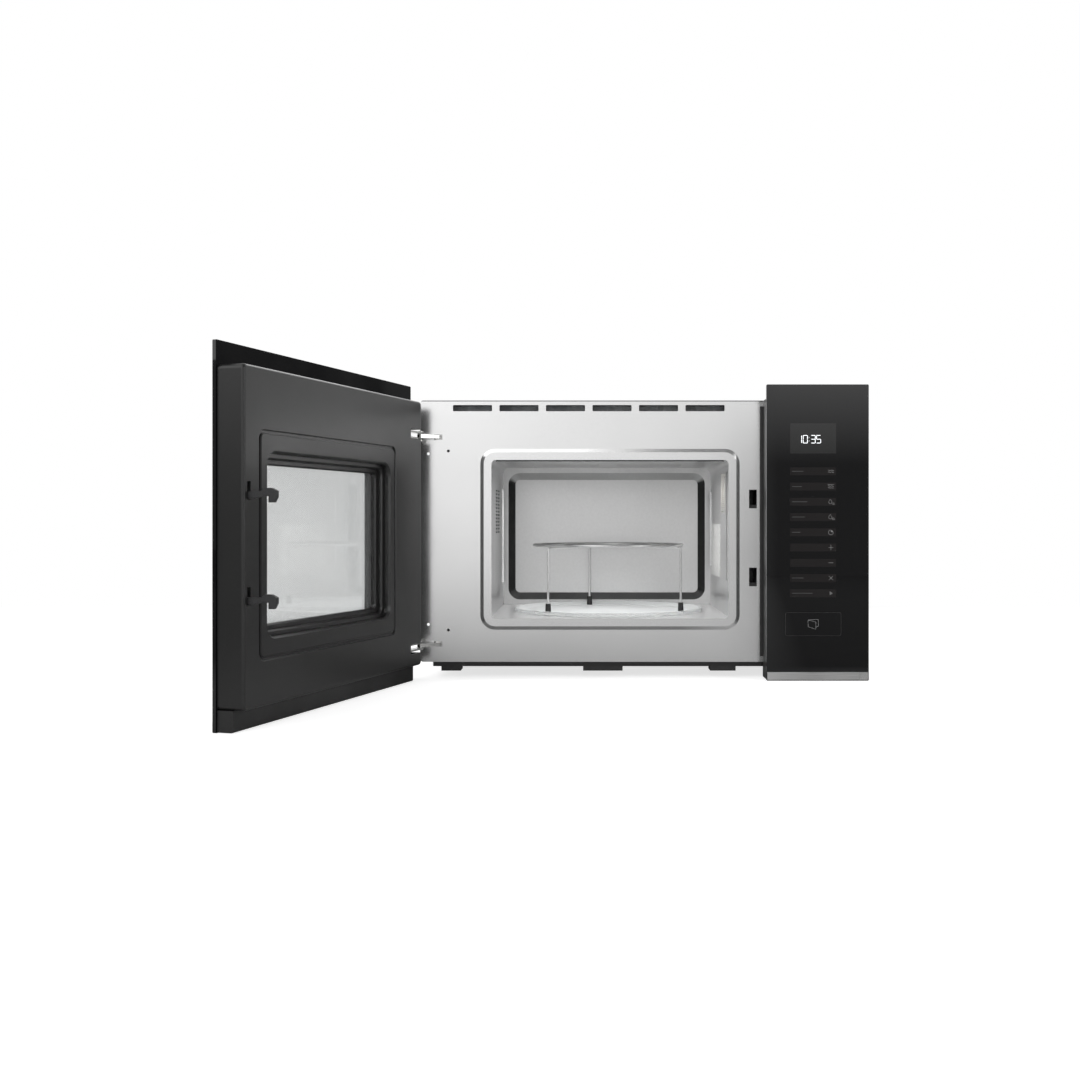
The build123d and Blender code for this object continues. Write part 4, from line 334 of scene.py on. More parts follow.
drawn_can = grained("drawn_aluminium", grey(0.56), grey(0.74), 0.25, 0.4,
                    (30.0, 1200.0, 1200.0), 0.02 * MM, {"Metallic": 1.0})
dress(drawn_can, "hv_capacitor")
pale_plastic = grained("pale_plastic", (0.60, 0.60, 0.58, 1), (0.72, 0.72, 0.70, 1), 0.4, 0.55,
                       (900.0, 900.0, 900.0), 0.03 * MM)
dress(pale_plastic, "fan_blade", "fan_shroud")
frosted_quartz = grained("frosted_quartz", (0.74, 0.72, 0.69, 1), (0.84, 0.83, 0.80, 1), 0.35, 0.5,
                         (600.0, 600.0, 600.0), 0.03 * MM)
dress(frosted_quartz, "grill_element", "thermal_cutouts")

bulb, tree, shader, place = new_finish("lamp_bulb", {"Emission Strength": 6.0, "Roughness": 0.3})
glow = mixed(tree, noise(tree, place, 120.0), (1.0, 0.90, 0.74, 1), (1.0, 0.97, 0.90, 1))
feed(tree, shader, Base_Color=glow, Emission_Color=glow, Roughness=marked(tree, place, 0.2, 0.4))
dress(bulb, "cavity_lamp")

# Cavity: wrapper, floor and rear wall, pressed and spot-welded from satin stainless steel.
# The sheet mirrors softly. The slope around the rear panel is painted dark, lighter along its top, as a
# painted reflection of the dark things it faces.
SATIN_DARK = grey(0.70)
SATIN_LIGHT = grey(0.76)
satin_constants = {"Metallic": 0.85}
satin = grained("cavity_satin", SATIN_DARK, SATIN_LIGHT, 0.285, 0.305, (260.0, 260.0, 260.0), 0.001 * MM,
                satin_constants)
dress(satin, "cavity_wrapper")
# Painted light: the floor is a lighter, less metallic copy of the same steel as the wrapper.
floor_satin_painted_light = grained("cavity_floor_painted_light", grey(0.88), grey(0.94), 0.285, 0.305,
                      (260.0, 260.0, 260.0), 0.001 * MM, {"Metallic": 0.5})
dress(floor_satin_painted_light, "cavity_floor")

rear_satin, tree, shader, place = new_finish("cavity_rear_satin", satin_constants)
grain = grain_of(tree, place, (260.0, 260.0, 260.0))
facing = add(tree, "SeparateXYZ", {0: tree.nodes["Texture Coordinate"].outputs["Normal"]}).outputs
slope = spread(tree, maths(tree, "ABSOLUTE", facing["Y"]), 1.0, 0.0, 0.72, 0.93)
top_share = spread(tree, facing["Z"], 0.15, 1.0, -0.45, -0.2)
low_share = spread(tree, facing["Z"], 1.0, 0.78, 0.2, 0.45)
share = maths(tree, "MULTIPLY", top_share, low_share)
# Painted reflection: the bevel ring is darkened nearly to black, less on its top and bottom sides.
painted_dark_reflection = maths(tree, "MULTIPLY", slope, share)
# Painted shade: the rear wall's flat sheet is a little darker than the wrapper's, though it is the same
# steel.
sheet_tone = mixed(tree, grain["Tone"], grey(0.60), grey(0.63))
feed(tree, shader, Base_Color=mixed(tree, painted_dark_reflection, sheet_tone, grey(0.035)),
     Roughness=marked(tree, place, 0.285, 0.305), Normal=dented(tree, grain["Height"], 0.0004 * MM))
dress(rear_satin, "cavity_rear_wall")

# Waveguide cover: a cut sheet of pressed mica on the cavity's right wall.
# Mica is pale, flaky and slightly pearly.
mica, tree, shader, place = new_finish("pressed_mica", {"Sheen Weight": 0.2})
flake = add(tree, "TexVoronoi", {"Vector": place, "Scale": 240.0, "Randomness": 1.0})
flakes = add(tree, "SeparateColor", {"Color": flake.outputs["Color"]}).outputs
feed(tree, shader, Base_Color=mixed(tree, flakes["Red"], (0.60, 0.60, 0.585, 1), (0.72, 0.72, 0.705, 1)),
     Roughness=spread(tree, flakes["Green"], 0.3, 0.5, 0.0, 1.0),
     Normal=dented(tree, flake.outputs["Distance"], 0.05 * MM))
dress(mica, "waveguide_cover")

# Turntable: coupler, roller ring and three rollers in pale heat-proof plastic, under a plate of pressed
# glass. The plate lies loose on the coupler. Its clear glass is painted as a pale white layer, thin
# head-on and more opaque at grazing angles, a painted reflection.
ring_plastic = grained("roller_plastic", (0.64, 0.63, 0.60, 1), (0.76, 0.75, 0.72, 1), 0.36, 0.5,
                       (800.0, 800.0, 800.0), 0.03 * MM)
dress(ring_plastic, "turntable_coupler", "roller_ring", "roller_1", "roller_2", "roller_3")

table_glass, tree, shader, place = new_finish("turntable_glass", {"Specular IOR Level": 0.25})
cloud = noise(tree, place, 9.0, 4.0)
# Painted reflection: the glass's white layer grows more opaque towards grazing angles.
turned = add(tree, "LayerWeight", {"Blend": 0.5}).outputs["Facing"]
feed(tree, shader, Base_Color=mixed(tree, cloud, (0.80, 0.82, 0.82, 1), (0.84, 0.86, 0.86, 1)),
     Roughness=marked(tree, place, 0.285, 0.31, 22.0), Alpha=spread(tree, turned, 0.24, 0.74, 0.35, 0.93))
dress(table_glass, "turntable_plate")

# Grill rack: rings and legs of round steel wire, welded and bright-chromed, with a rubber boot on each
# leg. The plating is bright, softened a little by fine clouding.
chrome = grained("bright_chrome", grey(0.70), grey(0.76), 0.28, 0.29,
                 (500.0, 500.0, 500.0), 0.001 * MM, {"Metallic": 1.0})
dress(chrome, "grill_rack")

# Front plate: one stainless sheet, stamped with the opening's raised land, the vent slots and the latch
# slots. Its satin finish is blasted, so it has a fine even sparkle and no brush lines. A dark line is
# painted along its upper edge as a painted reflection of the bent edge.
PAINTED_EDGE_FROM = 360.5
PAINTED_EDGE_FULL = 361.1
plate_steel, tree, shader, place = new_finish("front_plate_satin", {"Metallic": 0.9})
grain = grain_of(tree, place, (700.0, 700.0, 700.0))
sheet_tone = mixed(tree, grain["Tone"], grey(0.68), grey(0.74))
height = add(tree, "SeparateXYZ", {0: place}).outputs["Z"]
# Painted reflection: the colour turns dark grey within the top millimetre of the plate.
painted_edge_reflection = spread(tree, height, 0.0, 1.0, PAINTED_EDGE_FROM * MM, PAINTED_EDGE_FULL * MM)
feed(tree, shader, Base_Color=mixed(tree, painted_edge_reflection, sheet_tone, grey(0.12)),
     Roughness=marked(tree, place, 0.17, 0.21), Normal=dented(tree, grain["Height"], 0.003 * MM))
dress(plate_steel, "front_plate")

# Shadow strip: a thin near-black strip under the upper edge of the opening, where plate and wrapper
# meet, put there as painted shadow of the gap between them. It ends in a small blob at each corner.
GAP_STRIP_HALF = 152.0
GAP_STRIP_DEEP = 1.2
GAP_STRIP_HIGH = 1.7
BLOB_R = 1.0
BLOB_DROP = 0.2
GAP_STRIP_Z = 281.35
GAP_STRIP_Y = -2.1
# Painted shadow: near-black colour for the strip and blobs that stand where the gap lies.
gap_shadow_paint = grained("painted_gap_shadow", grey(0.010), grey(0.018), 0.5, 0.65,
                 (900.0, 900.0, 900.0), 0.03 * MM)
mesh = bmesh.new()
line = bmesh.ops.create_cube(mesh, size=1.0)["verts"]
bmesh.ops.scale(mesh, vec=Vector((2 * GAP_STRIP_HALF, GAP_STRIP_DEEP, GAP_STRIP_HIGH)) * MM, verts=line)
for side in (-1, 1):
    blob = bmesh.ops.create_icosphere(mesh, subdivisions=2, radius=BLOB_R * MM)["verts"]
    bmesh.ops.translate(mesh, vec=Vector((side * GAP_STRIP_HALF, 0, -BLOB_DROP)) * MM, verts=blob)
bmesh.ops.translate(mesh, vec=Vector((0, GAP_STRIP_Y, GAP_STRIP_Z)) * MM, verts=mesh.verts)
piece("painted_gap_shadow_strip", mesh, "cabinet", "boot_rubber", gap_shadow_paint)

# Hinges: stamped arms, forks and pins in bright zinc plating.
# The arms are screwed behind the front plate, and the forks to the door's frame.
plating = grained("hinge_plating", (0.40, 0.40, 0.39, 1), (0.54, 0.54, 0.53, 1), 0.10, 0.20,
                  (420.0, 420.0, 420.0), 0.01 * MM, {"Metallic": 1.0})
dress(plating, "hinge_arm_upper", "hinge_arm_lower", "hinge_fork_upper", "hinge_fork_lower", "hinge_pins")

# Door frame, window bezel and bottom ledge: pressed steel choke frame and trims in black satin enamel.
# The enamel has a soft orange peel, and wiping has polished it in places. The oven's base plate is
# given the same black enamel as painted shade, for the shadow under the front plate.
peel_inputs = [("Vector", "Vector", None), ("Size", "Float", 520.0)]
orange_peel, source, result = shared_effect("orange_peel", peel_inputs, ["Height"])
skin = add(orange_peel, "TexNoise", {"Vector": source["Vector"], "Scale": source["Size"], "Detail": 1.0})
orange_peel.links.new(skin.outputs["Fac"], result["Height"])


def enamelled(name, dark, light, smooth, rough, size, depth, constants=None):
    """A sprayed or moulded finish with an orange-peel skin."""
    finish, tree, shader, place = new_finish(name, constants or {})
    peel = add(tree, "Group", {"Vector": place, "Size": size}, node_tree=orange_peel).outputs["Height"]
    feed(tree, shader, Base_Color=mixed(tree, noise(tree, place, 320.0, 1.0), dark, light),
         Roughness=marked(tree, place, smooth, rough), Normal=dented(tree, peel, depth))
    return finish


door_enamel = enamelled("door_enamel", grey(0.013), grey(0.016), 0.285, 0.315, 420.0,
                        0.0008 * MM, {"Specular IOR Level": 0.42})
# The base plate takes the black enamel as painted shade under the front plate.
dress(door_enamel, "door_frame", "door_window_bezel", "base_plate")
ledge_enamel = enamelled("ledge_plastic", grey(0.007), grey(0.011), 0.40, 0.52, 700.0,
                         0.02 * MM)
dress(ledge_enamel, "door_bottom_ledge")

# Door glass: a sheet of toughened glass with a black enamel print fired onto its back, clear at the
# window. The front is fully polished; the print's back is dull. It is glued to the frame.
DOOR_OPEN = radians(106.5)
HINGE_X = -251.8
HINGE_Y = -19.2
WINDOW_X = 3.0
WINDOW_Z = 176.15
WINDOW_HALF = (131.0, 91.0)
WINDOW_CORNER = 12.0
PRINT_FACE_Y = -35.3


def as_closed(tree, place):
    """The place on the door as it is with the door shut, which is how the sheet was printed."""
    pivot = Vector((HINGE_X * MM, HINGE_Y * MM, 0))
    moved = pivot - Matrix.Rotation(DOOR_OPEN, 3, "Z") @ pivot
    feeds = {"Vector": place, "Location": moved, "Rotation": (0, 0, DOOR_OPEN)}
    return add(tree, "Mapping", feeds).outputs[0]


def window_mask(tree, flat, soft):
    """One inside a rounded window, nought outside it."""
    over = []
    for axis, centre, half in (("X", WINDOW_X, WINDOW_HALF[0]), ("Z", WINDOW_Z, WINDOW_HALF[1])):
        away = maths(tree, "ABSOLUTE", maths(tree, "SUBTRACT", flat[axis], centre * MM))
        over.append(maths(tree, "MAXIMUM", maths(tree, "SUBTRACT", away, (half - WINDOW_CORNER) * MM)))
    squares = [maths(tree, "MULTIPLY", length, length) for length in over]
    edge = maths(tree, "SQRT", maths(tree, "ADD", *squares))
    return spread(tree, edge, 1.0, 0.0, (WINDOW_CORNER - soft) * MM, (WINDOW_CORNER + soft) * MM)


def printed_glass(name, on_door):
    """Black printed glass: polished in front, dull behind, and on the door see-through at the window."""
    constants = {"Specular IOR Level": 0.03, "Coat Roughness": 0.02, "Coat IOR": 1.5}
    finish, tree, shader, place = new_finish(name, constants)
    spot = as_closed(tree, place) if on_door else place
    flat = add(tree, "SeparateXYZ", {0: spot}).outputs
    front = spread(tree, flat["Y"], 1.0, 0.0, (PRINT_FACE_Y - 0.2) * MM, PRINT_FACE_Y * MM)
    tone = mixed(tree, noise(tree, spot, 10.0, 4.0), (0.003, 0.003, 0.0034, 1), (0.005, 0.005, 0.0054, 1))
    feed(tree, shader, Base_Color=tone, Roughness=marked(tree, spot, 0.42, 0.58), Coat_Weight=front)
    if on_door:
        feed(tree, shader, Alpha=spread(tree, window_mask(tree, flat, 0.4), 1.0, 0.05, 0.0, 1.0))
    return finish


dress(printed_glass("door_black_glass", True), "door_glass")

# Window pane and screen: a clear glass pane inside, and behind it a perforated sheet that keeps the waves
# in. The sheet is etched full of round holes on a close triangular grid and painted grey.
HOLE_PITCH = 2.3


def clear_glass(name, tint, smooth, rough):
    """Clear glass with faint smears in its gloss."""
    finish, tree, shader, place = new_finish(name, {"Transmission Weight": 1.0, "IOR": 1.46})
    cloud = noise(tree, place, 9.0, 4.0)
    feed(tree, shader, Base_Color=mixed(tree, cloud, tint, (0.98, 0.99, 0.985, 1)),
         Roughness=marked(tree, place, smooth, rough, 22.0))
    return finish


dress(clear_glass("window_glass", (0.90, 0.92, 0.92, 1), 0.01, 0.05), "door_window_pane")
screen, tree, shader, place = new_finish("etched_screen", {"Metallic": 0.3})
flat = add(tree, "SeparateXYZ", {0: as_closed(tree, place)}).outputs
waves = []
for turn in (0, 60, 120):
    step = 4 * pi / (HOLE_PITCH * MM * 3 ** 0.5)
    along = maths(tree, "ADD", maths(tree, "MULTIPLY", flat["X"], step * cos(radians(turn))),
                  maths(tree, "MULTIPLY", flat["Z"], step * sin(radians(turn))))
    waves.append(maths(tree, "COSINE", along))
holes = maths(tree, "ADD", maths(tree, "ADD", waves[0], waves[1]), waves[2])
paint = mixed(tree, noise(tree, place, 300.0), grey(0.50), grey(0.60))
feed(tree, shader, Base_Color=paint,
     Roughness=marked(tree, place, 0.45, 0.6), Alpha=spread(tree, holes, 1.0, 0.0, -1.05, -0.8))
dress(screen, "door_window_screen")

# Trim strips: thin aluminium rails, brushed along their length and stuck to the foot of both glasses.
# The brushing shows as fine lengthwise streaks.
strip = grained("brushed_strip", grey(0.50), grey(0.72), 0.26, 0.36,
                (24.0, 24.0, 2600.0), 0.01 * MM, {"Metallic": 1.0})
dress(strip, "door_trim_strip", "panel_trim_strip")

# Control panel: printed black glass over a moulded housing, with the touch foil and the display behind
# it. The door button stands in a cut-out of the glass and has the same gloss.
dress(printed_glass("panel_black_glass", False), "panel_glass", "door_button")
housing = enamelled("housing_plastic", grey(0.016), grey(0.026), 0.36, 0.5, 900.0,
                    0.02 * MM)
dress(housing, "panel_housing", "touch_foil", "display_module")

# Prints on the panel: display window, nine touch fields with their symbols, and the button's outline.
# They are thin layers of dark ink, so they only just differ from the black around them.
GLASS_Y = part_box("panel_glass")[0][1] / MM
INK = 0.05
FIELD_X = 265.3
FIELD_W = 60.2
FIELD_H = 10.3
FIRST_FIELD_Z = 265.7
FIELD_PITCH = 19.96
FIELD_CORNER = 0.6
DISPLAY_H = 39.5
DISPLAY_Z = 308.75


def ink(name, dark, light, smooth, rough, constants=None):
    return grained(name, dark, light, smooth, rough, (1500.0, 1500.0, 1500.0), 0.002 * MM, constants)


under_gloss = {"Specular IOR Level": 0.03, "Coat Weight": 1.0, "Coat Roughness": 0.02, "Coat IOR": 1.5}
field_ink = ink("field_ink", (0.012, 0.011, 0.011, 1), (0.016, 0.014, 0.014, 1), 0.4, 0.5, under_gloss)
window_ink = ink("display_ink", grey(0.020), grey(0.025), 0.4, 0.5, under_gloss)
mesh = bmesh.new()
for row in range(9):
    slab = bmesh.new()
    rounded_slab(slab, FIELD_W, FIELD_H, INK, FIELD_CORNER, 3)
    bmesh.ops.translate(slab, verts=slab.verts,
                        vec=Vector((FIELD_X, GLASS_Y, FIRST_FIELD_Z - row * FIELD_PITCH)) * MM)
    join(mesh, slab)
piece("touch_fields", mesh, "cabinet", "display_plastic", field_ink)

mesh = bmesh.new()
rounded_slab(mesh, FIELD_W, DISPLAY_H, INK, FIELD_CORNER, 3)
bmesh.ops.translate(mesh, verts=mesh.verts, vec=Vector((FIELD_X, GLASS_Y, DISPLAY_Z)) * MM)
piece("display_window", mesh, "cabinet", "display_plastic", window_ink)

# Clock digits: four seven-segment digits and a colon that glow white behind the glass.
# Each segment is a bar with bevelled ends.
DIGIT_H = 10.8
STROKE = 0.82
DIGITS_X = 262.4
DIGITS_Z = 307.7
SEGMENT_GAP = 0.25
SEGMENT_THICK = 0.04
COLON_X = -2.5
COLON_RISE = 2.2
SEGMENTS = {"0": "abcdef", "1": "bc", "3": "abcdg", "5": "acdfg"}
digit_light, tree, shader, place = new_finish("digit_light", {"Emission Strength": 1.0, "Roughness": 0.4})
lit = mixed(tree, noise(tree, place, 700.0), (0.80, 0.82, 0.84, 1), (0.92, 0.94, 0.96, 1))
feed(tree, shader, Emission_Color=lit, Base_Color=lit, Roughness=marked(tree, place, 0.3, 0.5))


def lit_bar(whole, x, z, length, upright):
    bar = bmesh.new()
    if upright:
        rounded_slab(bar, STROKE, length, SEGMENT_THICK, 0.42 * STROKE, 1)
    else:
        rounded_slab(bar, length, STROKE, SEGMENT_THICK, 0.42 * STROKE, 1)
    bmesh.ops.translate(bar, verts=bar.verts, vec=Vector((x, GLASS_Y - INK, z)) * MM)
    join(whole, bar)


mesh = bmesh.new()
for digit, start, end in (("1", -18.2, -11.8), ("0", -10.5, -4.1), ("3", -0.1, 6.1), ("5", 7.0, 13.2)):
    west = DIGITS_X + start + STROKE / 2
    east = DIGITS_X + end - STROKE / 2
    half = (DIGIT_H - STROKE) / 2
    long_bar = half - SEGMENT_GAP
    wide_bar = east - west - SEGMENT_GAP
    rows = {"a": half, "g": 0.0, "d": -half}
    for segment in SEGMENTS[digit]:
        if segment in rows:
            lit_bar(mesh, (west + east) / 2, DIGITS_Z + rows[segment], wide_bar, False)
        else:
            column = east if segment in "bc" else west
            rise = half / 2 if segment in "bf" else -half / 2
            lit_bar(mesh, column, DIGITS_Z + rise, long_bar, True)
for rise in (COLON_RISE, -COLON_RISE):
    lit_bar(mesh, DIGITS_X + COLON_X, DIGITS_Z + rise, STROKE, True)
piece("clock_digits", mesh, "cabinet", "display_plastic", digit_light)

# Symbols: fine grey lines printed at the right end of each touch field, and a short mark at its left.
# Waves, grill with waves, two thawing drops, clock, plus, minus, cross and start arrow.
SYMBOL_X = 288.6
LINE_R = 0.24
LINE_THICK = 0.04
MARK_X = 237.6
MARK_R = 0.5
MARK_LENGTHS = (15, 13, 20, 17, 11, 0, 0, 15, 27)
symbol_ink = ink("symbol_ink", grey(0.26), grey(0.34), 0.3, 0.5)
mark_ink = ink("mark_ink", grey(0.055), grey(0.075), 0.3, 0.5)


def printed_lines(strokes, radius):
    """Flat printed lines along points in millimetres, made as fine tubes and pressed flat."""
    curve = bpy.data.curves.new("lines", "CURVE")
    curve.dimensions = "3D"
    curve.bevel_depth = radius * MM
    curve.bevel_resolution = 1
    curve.use_fill_caps = True
    for points, closed in strokes:
        line = curve.splines.new("POLY")
        line.points.add(len(points) - 1)
        for spot, (x, z) in zip(line.points, points):
            spot.co = (x * MM, 0, z * MM, 1)
        line.use_cyclic_u = closed
    holder = bpy.data.objects.new("lines", curve)
    made = bpy.data.meshes.new_from_object(holder)
    mesh = bmesh.new()
    mesh.from_mesh(made)
    bpy.data.objects.remove(holder)
    bpy.data.curves.remove(curve)
    bpy.data.meshes.remove(made)
    bmesh.ops.scale(mesh, vec=(1, LINE_THICK / (2 * radius), 1), verts=mesh.verts)
    bmesh.ops.translate(mesh, vec=Vector((0, GLASS_Y - INK - LINE_THICK / 2, 0)) * MM, verts=mesh.verts)
    return mesh


def wave(z, reach=3.8, swing=0.55):
    steps = [-reach + 2 * reach * step / 16 for step in range(17)]
    return [(x, z + swing * sin(x * 2 * pi / 3.8)) for x in steps], False


def ring(x, z, radius, start=0, end=360):
    count = max(6, int((end - start) / 15))
    whole = end - start >= 360
    turns = [start + (end - start) * step / count for step in range(count if whole else count + 1)]
    return [(x + radius * cos(radians(turn)), z + radius * sin(radians(turn))) for turn in turns], whole


def drop(x, z):
    arc = ring(x, z - 0.8, 2.1, -215, 35)[0]
    return [(x, z + 3.2)] + arc, True


quarter = [([(x, 0.3), (x, (2.7 ** 2 - x ** 2) ** 0.5)], False) for x in (0.3, 0.7, 1.1, 1.5, 1.9, 2.3)]
symbols = [
    [wave(1.2), wave(-1.2)],
    [([(-4.4, 2.8), (4.4, 2.8)], False), wave(0.6), wave(-1.8)],
    [drop(-0.8, 0.4), ([(2.2, -3.4), (4.4, -3.4), (3.9, -1.4), (2.7, -1.4)], True)],
    [drop(-0.8, 0.4), ring(3.2, -2.4, 1.2)],
    [ring(0, 0, 3.2, 90, 360), *quarter],
    [([(-3.2, 0), (3.2, 0)], False), ([(0, -3.2), (0, 3.2)], False)],
    [([(-3.2, 0), (3.2, 0)], False)],
    [([(-2.6, -2.6), (2.6, 2.6)], False), ([(-2.6, 2.6), (2.6, -2.6)], False)],
    [([(-1.6, z), (2.2 - abs(z) * 1.45, z)], False) for z in (-2.1, -1.4, -0.7, 0.0, 0.7, 1.4, 2.1)],
]
drawn_symbols = []
for row, strokes in enumerate(symbols):
    field_z = FIRST_FIELD_Z - row * FIELD_PITCH
    for points, closed in strokes:
        drawn_symbols.append(([(SYMBOL_X + x, field_z + z) for x, z in points], closed))
piece("touch_symbols", printed_lines(drawn_symbols, LINE_R), "cabinet", "display_plastic", symbol_ink)

marks = []
for row, length in enumerate(MARK_LENGTHS):
    if length:
        field_z = FIRST_FIELD_Z - row * FIELD_PITCH
        marks.append(([(MARK_X, field_z), (MARK_X + length, field_z)], False))
piece("field_marks", printed_lines(marks, MARK_R), "cabinet", "display_plastic", mark_ink)

# Button print: the door button's outline and an open door, in the same fine grey line.
# They ride on the button and go in with it.
BUTTON_X = 265.5
BUTTON_Z = 65.5
OUTLINE_HALF_W = 36.4
OUTLINE_HALF_H = 15.2
OUTLINE_CORNER = 2.6
OUTLINE_R = 0.3
outline_ink = ink("outline_ink", grey(0.028), grey(0.038), 0.3, 0.5)
outline = []
for east, north, turn in ((1, 1, 0), (-1, 1, 90), (-1, -1, 180), (1, -1, 270)):
    x = BUTTON_X + east * (OUTLINE_HALF_W - OUTLINE_CORNER)
    z = BUTTON_Z + north * (OUTLINE_HALF_H - OUTLINE_CORNER)
    outline += ring(x, z, OUTLINE_CORNER, turn, turn + 90)[0]
outline_mesh = printed_lines([(outline, True)], OUTLINE_R)
piece("button_outline", outline_mesh, "open_button", "button_plastic", outline_ink)
door_symbol = [
    ([(-7.0, 5.4), (-6.6, -3.4), (3.2, -6.6), (3.4, 2.8)], True),
    ([(-7.0, 5.4), (6.4, 6.2), (6.8, -2.4), (3.3, -4.2)], False),
]
placed = [([(BUTTON_X + x, BUTTON_Z + z) for x, z in points], closed) for points, closed in door_symbol]
piece("button_symbol", printed_lines(placed, OUTLINE_R), "open_button", "button_plastic", symbol_ink)

# Studio: a wide pale floor under the oven, white for the camera and in reflections, with the oven's own
# shadow. For glossy rays the paper is painted a darker grey where the panel and the door mirror it, a
# painted reflection, and its colour fades to black towards the back.
FLOOR_Z = -8.6
FLOOR_R = 9.0


def bare_finish(name):
    """A material without nodes, and its tree."""
    finish = bpy.data.materials.new(name)
    finish.use_nodes = True
    finish.node_tree.nodes.clear()
    return finish, finish.node_tree


floor_paint, tree = bare_finish("floor_paper")
where = add(tree, "TexCoord").outputs["Object"]
spot = add(tree, "SeparateXYZ", {0: where}).outputs
rays = add(tree, "LightPath").outputs
mirrored = rays["Is Glossy Ray"]
at_back = maths(tree, "MULTIPLY", mirrored, spread(tree, spot["Y"], 0.0, 1.0, 0.0, 0.35))
direct = maths(tree, "MAXIMUM", rays["Is Camera Ray"], rays["Is Transmission Ray"])
seen = maths(tree, "MAXIMUM", direct, at_back)
along_panel = (1.0, 0.135, 0.0)
across = add(tree, "VectorMath", {0: where, 1: along_panel}, operation="DOT_PRODUCT").outputs["Value"]
before_panel = maths(tree, "MULTIPLY", spread(tree, across, 0.0, 1.0, 0.19, 0.26),
                     spread(tree, spot["Y"], 1.0, 0.0, -0.20, -0.13))
beside_door = spread(tree, spot["X"], 1.0, 0.0, -0.95, -0.65)
under_door = maths(tree, "MULTIPLY", spread(tree, spot["Y"], 0.0, 1.0, -0.14, -0.05),
                   spread(tree, spot["X"], 1.0, 0.0, 0.10, 0.20))
by_door = maths(tree, "MAXIMUM", beside_door, under_door)
paper_and_painted_reflection = mixed(tree, noise(tree, where, 60.0), grey(0.60), grey(0.62))
# Painted reflection: the paper is darker for glossy rays before the panel and beside and under the door.
paper_and_painted_reflection = mixed(tree, maths(tree, "MULTIPLY", mirrored, before_panel), paper_and_painted_reflection, grey(0.20))
paper_and_painted_reflection = mixed(tree, maths(tree, "MULTIPLY", mirrored, by_door), paper_and_painted_reflection, grey(0.12))
paper_and_painted_reflection = mixed(tree, spread(tree, spot["Y"], 0.0, 1.0, 0.3, 1.4), paper_and_painted_reflection, grey(0.0))
paper = add(tree, "BsdfDiffuse", {"Color": paper_and_painted_reflection}).outputs[0]
away = add(tree, "VectorMath", {0: where}, operation="LENGTH").outputs["Value"]
white = spread(tree, away, 0.72, 1.0, 0.5, 1.6)
lift = add(tree, "Emission", {"Color": grey(1.0), "Strength": white}).outputs[0]
both = add(tree, "AddShader", {0: paper, 1: lift}).outputs[0]
shown = add(tree, "MixShader", {0: seen, 1: paper, 2: both}).outputs[0]
add(tree, "OutputMaterial", {"Surface": shown})

mesh = bmesh.new()
bmesh.ops.create_circle(mesh, cap_ends=True, segments=96, radius=FLOOR_R)
bmesh.ops.translate(mesh, verts=mesh.verts, vec=(0, 0, FLOOR_Z * MM))
shown_mesh("floor", mesh, floor_paint)

# Light card: a large glowing card behind the camera, which doesn't see it.
# It is darker before the panel's foot and brighter before its top.
CARD_CENTRE = (-0.35, -3.2, 0.69)
CARD_HALF = (1.95, 0.70)
card_light, tree = bare_finish("card_light")
spot = add(tree, "SeparateXYZ", {0: add(tree, "TexCoord").outputs["Object"]}).outputs
at_right = spread(tree, spot["X"], 0.0, 1.0, 0.50, 0.70)
beside_panel = spread(tree, spot["Z"], 0.18, 1.6, 0.42, 0.80)
before_plate = maths(tree, "MULTIPLY", spread(tree, spot["X"], 1.15, 0.78, -0.8, 0.7),
                     spread(tree, spot["Z"], 1.0, 1.18, 0.0, 0.6))
at_left = maths(tree, "SUBTRACT", 1.0, at_right)
level = maths(tree, "ADD", maths(tree, "MULTIPLY", before_plate, at_left),
              maths(tree, "MULTIPLY", beside_panel, at_right))
glow = add(tree, "Emission", {"Strength": level}).outputs[0]
clear = add(tree, "BsdfTransparent").outputs[0]
hidden = add(tree, "LightPath").outputs["Is Camera Ray"]
shown = add(tree, "MixShader", {0: hidden, 1: glow, 2: clear}).outputs[0]
add(tree, "OutputMaterial", {"Surface": shown})
mesh = bmesh.new()
bmesh.ops.create_grid(mesh, x_segments=8, y_segments=8, size=1.0)
card_place = Matrix.Translation(CARD_CENTRE) @ Matrix.Rotation(-pi / 2, 4, "X")
bmesh.ops.transform(mesh, matrix=card_place @ Matrix.Diagonal((*CARD_HALF, 1.0, 1.0)), verts=mesh.verts)
shown_mesh("light_card", mesh, card_light)

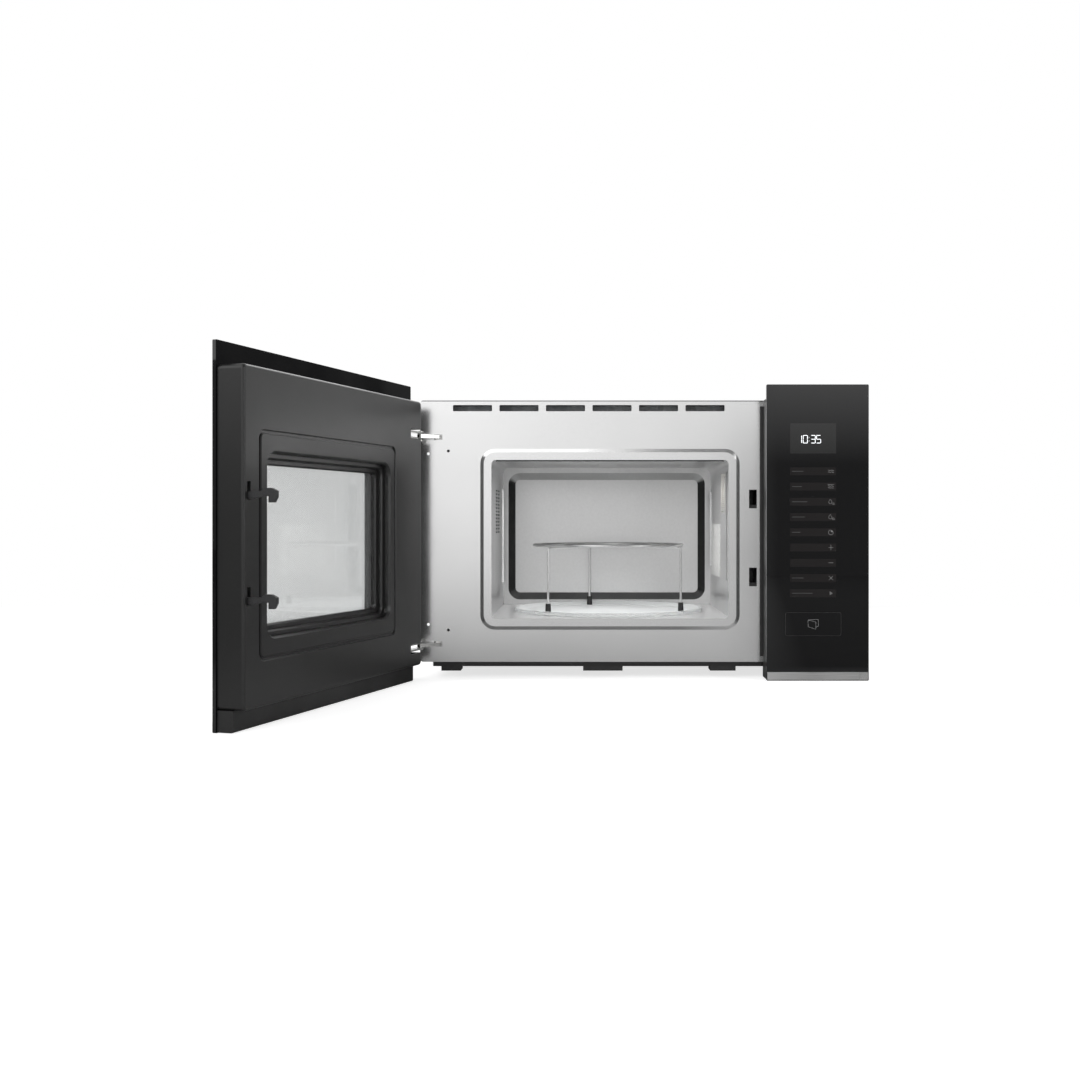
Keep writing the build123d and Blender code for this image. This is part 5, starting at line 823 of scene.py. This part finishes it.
# Room and lamps: a white room, dimmer towards the camera's side, with soft boxes on stands.
# The key stands at the upper left and a weaker fill at the right; a low strip draws the edges,
# a box behind lights the body's top, and a small one stands in for the oven's own lamp.
world = bpy.data.worlds.new("studio_room")
bpy.context.scene.world = world
world.use_nodes = True
tree = world.node_tree
tree.nodes.clear()
rays = add(tree, "LightPath").outputs
seen = maths(tree, "MAXIMUM", rays["Is Camera Ray"], rays["Is Transmission Ray"])
heading = add(tree, "SeparateXYZ", {0: add(tree, "TexCoord").outputs["Generated"]}).outputs
behind = spread(tree, heading["Y"], 0.20, 0.85, -0.2, 0.3)
level = maths(tree, "MAXIMUM", seen, behind)
sky = add(tree, "Background", {"Color": grey(1.0), "Strength": level}).outputs[0]
add(tree, "OutputWorld", {"Surface": sky})


def soft_box(name, spot, aim, width, height, watts):
    lamp = bpy.data.lights.new(name, "AREA")
    lamp.shape = "RECTANGLE"
    lamp.size = width
    lamp.size_y = height
    lamp.energy = watts
    made = bpy.data.objects.new(name, lamp)
    bpy.context.scene.collection.objects.link(made)
    made.location = spot
    made.rotation_euler = (Vector(aim) - Vector(spot)).to_track_quat("-Z", "Y").to_euler()
    made.visible_camera = False
    return made


front_middle = (0.0, 0.0, 0.18)
soft_box("key_box", (-1.5, -2.1, 1.8), front_middle, 3.2, 2.6, 44.0)
soft_box("fill_box", (1.9, -1.5, 0.9), front_middle, 1.2, 1.2, 6.0)
soft_box("rim_box", (0.5, 1.9, 1.75), (-0.2, -0.1, 0.3), 2.2, 0.7, 11.0)
soft_box("edge_strip", (1.85, -1.55, 0.55), (-0.33, -0.2, 0.2), 0.3, 1.3, 9.0)
oven_lamp = soft_box("oven_lamp", (0.0, 0.10, 0.281), (0.0, 0.12, 0.06), 0.20, 0.10, 0.7)
oven_lamp.visible_glossy = False

# Camera: level, a little left of the cavity's middle, at the distance that the front's perspective gives.
# The shift only sets the frame.
CAMERA_PLACE = (-0.0308, -1.6862, 0.2002)
SENSOR_MM = 36.0
LENS_MM = 41.93
FRAME_SHIFT = (-0.0435, -0.0173)
lens = bpy.data.cameras.new("front_camera")
lens.sensor_width = SENSOR_MM
lens.lens = LENS_MM
lens.shift_x, lens.shift_y = FRAME_SHIFT
lens.clip_start = 0.05
camera = bpy.data.objects.new("front_camera", lens)
bpy.context.scene.collection.objects.link(camera)
camera.location = CAMERA_PLACE
camera.rotation_euler = (pi / 2, 0, 0)
bpy.context.scene.camera = camera
bpy.context.scene.view_settings.view_transform = "Standard"
